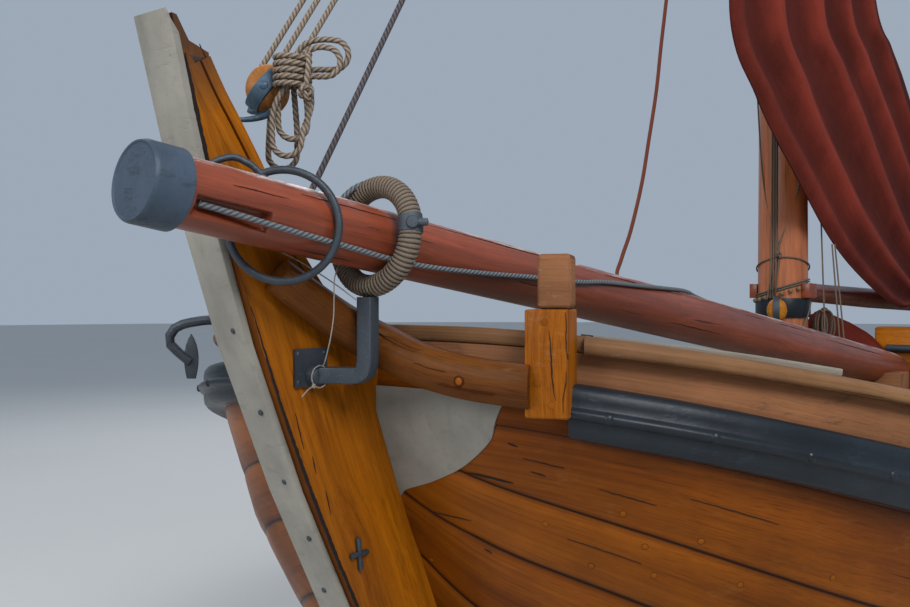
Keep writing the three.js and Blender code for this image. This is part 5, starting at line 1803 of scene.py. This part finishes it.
class SAILBOAT_OT_mast(bpy.types.Operator):
    """Mast with its collars, lashings, parrel, block and halyards."""

    bl_idname = "sailboat.mast"
    bl_label = "Mast"

    def execute(self, context):
        bm = bmesh.new()
        rows = [(0, 0), (0, 0.126), (0.006, 0.130)]
        rows += [(z - 0.2, mast_radius(z)) for z in (1.0, 1.8, 2.4, 2.8, 3.4, 4.2, 5.0, 5.8, 7.2, 8.48)]
        rows += [(8.29, 0.112), (8.295, 0.114), (8.405, 0.114), (8.41, 0.112), (8.412, 0.096)]
        rows += [(9.4, 0.084), (10.37, 0.0705), (10.395, 0.062), (10.4, 0)]
        spin_profile(bm, rows, at(MAST_S, 0, 0.2), at(MAST_S, 0, 2), 48)
        grain_uv(bm, UP, 0.4, at(MAST_S, 0, 0))
        piece("mast_spar", bm, "mast", replaces=("mast",), angle=35)
        dressed("mast_band", "tar", UP, 0.002)
        dressed("mast_step", "inside", AHEAD, 0.006)
        size = context.scene.sailboat_sizes.lashing
        r = size / 2
        lines = (
            ("lift_port", ((3.95, -36, 0.05), (3.27, -30, r), (2.96, 5, r), (2.862, 10, r + 0.004))),
            ("lift_starboard", ((3.95, 72, 0.05), (3.27, 59, r), (2.93, 14, r), (2.862, 11, r + 0.004))),
            ("fall_a", ((2.86, 8, r + 0.004), (2.73, -4, r + 0.006), (2.61, -11, 0.03))),
            ("fall_b", ((2.86, 13, r + 0.004), (2.74, 8, r + 0.004), (2.61, 5, 0.03))),
            ("fall_end", ((2.60, 84, 0.03), (2.52, 72, 0.03), (2.43, 56, 0.02))),
        )
        for name, course in lines:
            rope(name, [on_mast(*q) for q in course], size, "lashing", step=0.012)
        knotted("lift_knot", "lashing", on_mast(2.858, 11, 0.012), 0.015, r * 0.9)
        bands = (("mast_lashing_high", 2.79, 0.055, -66), ("mast_lashing_low", 2.682, 0.043, 20),
                 ("mast_lashing_second", 2.670, 0.043, 20))
        for name, z, tilt, lag in bands:
            loop = []
            for angle in range(0, 361, 9):
                height = z + tilt * math.sin(math.radians(angle - lag))
                loop.append(on_mast(height, angle, r + 0.002))
            rope(name, loop, size, "lashing", step=0.02)
        self.parrel()
        self.halyards(size)
        return {"FINISHED"}

    def parrel(self):
        """Row of wooden balls round the mast below the lashing, and the block in front of it."""
        bm = bmesh.new()
        for k in range(20):
            a = 18 * k
            z = 2.648 + 0.043 * math.sin(math.radians(a - 20))
            centre = on_mast(z, a, 0.014)
            spin_profile(bm, [(-0.014, 0), (-0.010, 0.009), (0, 0.013), (0.010, 0.009), (0.014, 0)],
                         centre, centre + UP, 10)
        piece("parrel_balls", bm, "bead", angle=180)
        bm = bmesh.new()
        centre = on_mast(2.553, 11, 0.062)
        out = Vector((math.cos(math.radians(15)), math.sin(math.radians(15)), 0))
        half = UP * 0.07
        block_mesh(bm, centre - half, centre + half, out, 0.055, 0.068, 0.046)
        piece("mast_block_shell", bm, "block_bright", angle=55)
        bm = bmesh.new()
        band = hoop(centre, UP * 0.074, out * 0.052)
        sweep(bm, band, bar_section(-0.017, 0.017, -0.003, 0.003, 0.002, 2), UP, closed=False)
        piece("mast_block_strap", bm, "iron", angle=60)

    def halyards(self, size):
        """Halyards up the mast's fore side, and falls beside its foot."""
        for k, angle in enumerate((-4, 1, 6)):
            course = ((2.62, 0.03), (3.2, 0.012), (6.0, 0.012), (8.45, 0.022))
            rope(f"halyard_{k}", [on_mast(z, angle, out) for z, out in course], size, "lashing", step=0.2)
        falls = (
            ("fall_c", (3.94, 0.190, 3.12), (3.945, 0.218, 2.30)),
            ("fall_d", (3.98, 0.240, 2.92), (3.985, 0.292, 2.26)),
            ("fall_e", (3.99, 0.252, 2.92), (3.99, 0.318, 2.24)),
        )
        for name, a, b in falls:
            middle = [(v + w) / 2 for v, w in zip(a, b)]
            rope(name, spots_at((a, middle, b)), size, "lashing", step=0.1)


SAIL_ROWS = (  # edge forward: s, p, z; edge aft: s, p, z
    (4.1285, 0.000, 7.767, 5.190, 0.000, 9.391),
    (3.990, 0.195, 7.150, 5.060, 0.120, 7.900),
    (3.700, 0.240, 6.700, 4.860, 0.180, 7.100),
    (3.400, 0.245, 6.300, 4.680, 0.200, 6.500),
    (2.850, 0.265, 5.050, 4.650, 0.230, 5.500),
    (2.530, 0.265, 3.940, 4.890, 0.250, 4.490),
    (2.890, 0.265, 3.550, 5.260, 0.250, 4.270),
    (3.430, 0.265, 3.225, 5.630, 0.250, 4.050),
    (4.280, 0.250, 2.840, 6.250, 0.230, 3.660),
    (5.630, 0.190, 2.560, 7.150, 0.150, 3.150),
    (6.700, 0.120, 2.650, 7.330, 0.080, 2.920),
    (7.300, 0.000, 2.643, 7.480, 0.000, 2.860),
)
SAIL_FOLDS = ((0.04, 0.030, 0.05), (0.22, 0.056, 0.085), (0.47, 0.060, 0.09), (0.70, 0.052, 0.08),
              (0.90, 0.040, 0.06))


def sail_point(run, across):
    """Point on the hanging sail; run goes from its head to its foot, across from fore to aft."""
    last = len(SAIL_ROWS) - 1
    k = min(last - 1, int(run * last))
    t = run * last - k
    rows = [SAIL_ROWS[max(0, k - 1)], SAIL_ROWS[k], SAIL_ROWS[k + 1], SAIL_ROWS[min(last, k + 2)]]
    values = []
    for a, b, c, d in zip(*rows):
        bend = (2 * a - 5 * b + 4 * c - d) * t * t + (3 * b - a - 3 * c + d) * t**3
        values.append(0.5 * (2 * b + (c - a) * t + bend))
    return [lerp(v, w, across) for v, w in zip(values[:3], values[3:])]


class SAILBOAT_OT_sail(bpy.types.Operator):
    """Mainsail hung in its folds from the gaff, and the lowered foresail behind the mast."""

    bl_idname = "sailboat.sail"
    bl_label = "Sails"

    def execute(self, context):
        self.mainsail()
        self.foresail()
        return {"FINISHED"}

    def mainsail(self):
        """Cloth along SAIL_ROWS, pushed out into its folds and a little creased."""
        columns, rows, thick = 150, 84, 0.006

        def fold_at(run, across):
            fold = 0.0
            for place, depth, wide in SAIL_FOLDS:
                here = place + 0.012 * math.sin(run * 11 + place * 17)
                fold += depth * math.exp(-(((across - here) / wide) ** 2) * 2.4)
            return fold

        def centre(run, across):
            s, p, z = sail_point(run, across)
            held = math.sin(math.pi * run) ** 0.5
            fold = fold_at(run, across)
            crease = 0.007 * noise.noise(Vector((run * 9, across * 6, 1.3)))
            crease += 0.002 * noise.noise(Vector((run * 30, across * 19, 4.1)))
            return at(s, p - 0.012 + (fold - 0.018 + crease) * (0.25 + 0.75 * held), z)

        def spot(i, j):
            run, across = i / columns, j / rows
            here = centre(run, across)
            near = 0.004
            a = centre(min(1, run + near), across) - centre(max(0, run - near), across)
            b = centre(run, min(1, across + near)) - centre(run, max(0, across - near))
            out = b.cross(a).normalized()
            if out.y < 0:
                out.negate()
            return here + out * thick / 2, here - out * thick / 2, (run * 7.5, across * 2.0)

        bm = bmesh.new()
        # The fold depth becomes the groove shade: painted shade in the valleys, painted light on the crests.
        slab(bm, columns, rows, spot, lambda i, j: max(0.0, 1 - fold_at(i / columns, j / rows) / 0.052))
        cloth = piece("mainsail_cloth", bm, "canvas", body="main_rig", replaces=("mainsail",), angle=70)

    def foresail(self):
        """Cloth laid up and down in leaves on the deck, with a coil of the falls before it."""
        rows = ((0.030, 0.055, 2.480), (0.060, 0.080, 2.548), (0.110, 0.088, 2.572), (0.250, 0.090, 2.500),
                (0.375, 0.088, 2.415), (0.450, 0.080, 2.342), (0.500, 0.060, 2.285))
        leaves, per_leaf, columns, thick = 5, 12, 30, 0.005

        def centre(i, j):
            p = lerp(0.032, 0.498, i / columns)
            half, top = table(rows, p)
            leaf, q = divmod(j, per_leaf)
            q /= per_leaf
            rise = q if leaf % 2 == 0 else 1 - q
            rise = 0.5 - 0.5 * math.cos(math.pi * rise)
            wave = 0.003 * noise.noise(Vector((p * 9, j * 0.35, 0)))
            drop = 0.022 * abs(math.sin(leaf * 2.1 + p * 3)) + 0.006 * noise.noise(Vector((p * 5, leaf, 3)))
            z = lerp(2.03, top - drop - 0.01, rise)
            across = (leaf + q) / leaves
            return at(4.212 + lerp(-half + 0.012, half - 0.012, across) + wave, p, z)

        count = leaves * per_leaf

        def spot(i, j):
            here = centre(i, j)
            a = centre(min(columns, i + 1), j) - centre(max(0, i - 1), j)
            b = centre(i, min(count, j + 1)) - centre(i, max(0, j - 1))
            out = a.cross(b).normalized()
            return here + out * thick / 2, here - out * thick / 2, (i * 0.016, j * 0.045)

        bm = bmesh.new()
        slab(bm, columns, count, spot)
        # The canvas's painted crest light covers the whole foresail; its darker finish offsets it.
        cloth = piece("foresail_cloth", bm, "canvas_low", replaces=("sail_bundle",), angle=70)
        turns = [at(4.065 + 0.010 * math.sin(k / 3), 0.140 + 0.0011 * k + 0.038 * math.cos(math.pi * k / 6),
                    2.462 + 0.010 * math.cos(k * 0.7) + 0.092 * math.sin(math.pi * k / 6)) for k in range(58)]
        rope("fall_coils", turns, 0.011, "lashing", step=0.012)


GAFF_FOOT = at(4.045, 0, 7.75)
GAFF_HEAD = at(5.45, 0, 9.9)
BOOM_JAWS = at(4.033, 0, 2.66)
BOOM_END = at(10.0, 0, 2.5)


class SAILBOAT_OT_spars(bpy.types.Operator):
    """Boom and gaff."""

    bl_idname = "sailboat.spars"
    bl_label = "Boom and gaff"

    def execute(self, context):
        boom = (BOOM_END - BOOM_JAWS).normalized()
        dressed("boom", "boom", boom, 0.002, axis_point=BOOM_JAWS)
        gaff = (GAFF_HEAD - GAFF_FOOT).normalized()
        dressed("gaff", "boom", gaff, 0.002, axis_point=GAFF_FOOT)
        bm = bmesh.new()
        ties = 9
        for k in range(ties):
            foot = GAFF_FOOT.lerp(GAFF_HEAD, 0.06 + 0.70 * ((k + 0.5) / ties))
            for turn in range(2):
                ring(bm, foot + gaff * 0.02 * turn, gaff, 0.066, 0.004, 20, 6)
        piece("gaff_lacing", bm, "lashing", body="main_rig", angle=180)
        return {"FINISHED"}


# Deck, inside, boards and irons


DRESSED = (  # node, finish, grain, eased edge
    ("foredeck", "deck", AHEAD, 0.0),
    ("hatch_coaming", "rail", AHEAD, 0.004),
    ("hatch_lid", "deck", AHEAD, 0.005),
    ("bulkhead", "inside", UP, 0.0),
    ("bulkhead_door", "inside", UP, 0.004),
    ("main_beam", "rail", PORT, 0.004),
    ("well_floor", "deck", AHEAD, 0.0),
    ("fish_trunk", "rail", AHEAD, 0.006),
    ("after_deck", "deck", AHEAD, 0.0),
    ("heel_bitt", "bitt", PORT, 0.014),
    ("bitt_pin", "iron", PORT, 0.004),
    ("anchor", "iron", AHEAD, 0.001),
    ("mainsheet_horse", "iron", PORT, 0.002),
    ("port_leeboard", "leeboard", AHEAD, 0.010),
    ("starboard_leeboard", "leeboard", AHEAD, 0.010),
    ("port_leeboard_pin", "iron", PORT, 0.003),
    ("starboard_leeboard_pin", "iron", PORT, 0.003),
    ("rudder_blade", "leeboard", (0.1, 0, 1), 0.008),
    ("rudder_strap_low", "iron", AHEAD, 0.003),
    ("rudder_strap_top", "iron", AHEAD, 0.003),
    ("rudder_rod", "iron", UP, 0.0),
    ("gudgeon_low", "iron", AHEAD, 0.003),
    ("gudgeon_top", "iron", AHEAD, 0.003),
    ("tiller", "bitt", AHEAD, 0.008),
)


class SAILBOAT_OT_fittings(bpy.types.Operator):
    """Deck, hatch, inside, leeboards, rudder and irons, the loose plank and the slack line."""

    bl_idname = "sailboat.fittings"
    bl_label = "Deck, boards and irons"

    def execute(self, context):
        for node, look, grain, ease in DRESSED:
            dressed(node, look, grain, ease)
        self.rail_plank()
        self.slack_rope()
        self.straps()
        return {"FINISHED"}

    def rail_plank(self):
        """Long plank that lies along the inside of the port cap rail."""
        ends = (at(0.60, 0.66, 2.512), at(1.107, 1.135, 2.418))
        bm = bmesh.new()
        path = [ends[0].lerp(ends[1], k / 24) + UP * (0.006 * math.sin(math.pi * k / 24))
                for k in range(25)]
        section = bar_section(-0.060, 0.060, -0.011, 0.011, 0.006)
        sweep(bm, path, section, UP)
        piece("rail_plank", bm, "grey_plank")

    def slack_rope(self):
        """Loose line from the head of the mast down behind the bowsprit."""
        spots = ((3.79, -0.035, 9.30), (3.72, -0.07, 8.60), (3.42, -0.13, 6.90), (3.12, -0.18, 5.45),
                 (2.95, -0.20, 4.65), (2.824, -0.20, 4.088), (2.767, -0.20, 3.850), (2.716, -0.20, 3.617),
                 (2.637, -0.20, 3.367), (2.568, -0.20, 3.160), (2.462, -0.20, 2.938), (2.372, -0.20, 2.801),
                 (2.315, -0.19, 2.712), (2.27, -0.08, 2.640), (2.25, 0.08, 2.595), (2.25, 0.24, 2.565),
                 (2.25, 0.33, 2.580))
        rope("slack_line", spots_at(spots), 0.018, "red_rope", step=0.02)
        knotted("slack_line_knot", "red_rope", at(3.785, -0.035, 9.30), 0.016, 0.008)

    def straps(self):
        """Iron straps across the leeboards, with their rivets."""
        pin_s, pin_z, droop = 5.0, 1.56, math.radians(7)
        inner, board, thick = 2.110, 0.060, 0.004
        section = bar_section(-thick, thick, -0.035, 0.035, 0.003, 2)
        for side, name in SIDES:
            bm = bmesh.new()
            for along, low, high in ((0.30, -0.19, 0.17), (1.50, -0.31, 0.25), (2.90, -0.39, 0.36)):
                for face, out in ((inner - thick, -side), (inner + board + thick, side)):
                    spots = []
                    for v in (low, high):
                        s = pin_s + along * math.cos(droop) + v * math.sin(droop)
                        z = pin_z - along * math.sin(droop) + v * math.cos(droop)
                        spots.append(at(s, side * face, z))
                    path = [spots[0].lerp(spots[1], k / 6) for k in range(7)]
                    sweep(bm, path, section, AHEAD)
                    for k in range(1, 6):
                        dome(bm, path[k] + PORT * (out * thick), PORT * out, 0.012, 0.006, 8)
            piece(f"{name}_leeboard_straps", bm, "iron", body=f"{name}_leeboard")


OPERATORS = (
    SAILBOAT_OT_camera, SAILBOAT_OT_hank, SAILBOAT_OT_floor, SAILBOAT_OT_planking, SAILBOAT_OT_bow_marks,
    SAILBOAT_OT_stem, SAILBOAT_OT_bow_timbers, SAILBOAT_OT_bowsprit, SAILBOAT_OT_tackle, SAILBOAT_OT_mast,
    SAILBOAT_OT_spars, SAILBOAT_OT_sail, SAILBOAT_OT_fittings,
)


class SAILBOAT_PT_panel(bpy.types.Panel):
    """Settings and building steps of the sailboat."""

    bl_idname = "SAILBOAT_PT_panel"
    bl_label = "Wooden sailboat"
    bl_space_type = "VIEW_3D"
    bl_region_type = "UI"
    bl_category = "Sailboat"

    def draw(self, context):
        for settings in (context.scene.sailboat_sizes, context.scene.sailboat_colours):
            for key in settings.__annotations__:
                self.layout.prop(settings, key)
        for step in OPERATORS:
            self.layout.operator(step.bl_idname)


CLASSES = (SailboatColours, SailboatSizes, *OPERATORS, SAILBOAT_PT_panel)


def register():
    for item in CLASSES:
        bpy.utils.register_class(item)
    bpy.types.Scene.sailboat_colours = PointerProperty(type=SailboatColours)
    bpy.types.Scene.sailboat_sizes = PointerProperty(type=SailboatSizes)


def unregister():
    del bpy.types.Scene.sailboat_sizes
    del bpy.types.Scene.sailboat_colours
    for item in reversed(CLASSES):
        bpy.utils.unregister_class(item)


def main():
    register()
    for step in OPERATORS:
        area, name = step.bl_idname.split(".")
        getattr(getattr(bpy.ops, area), name)()


if __name__ == "__main__":
    main()
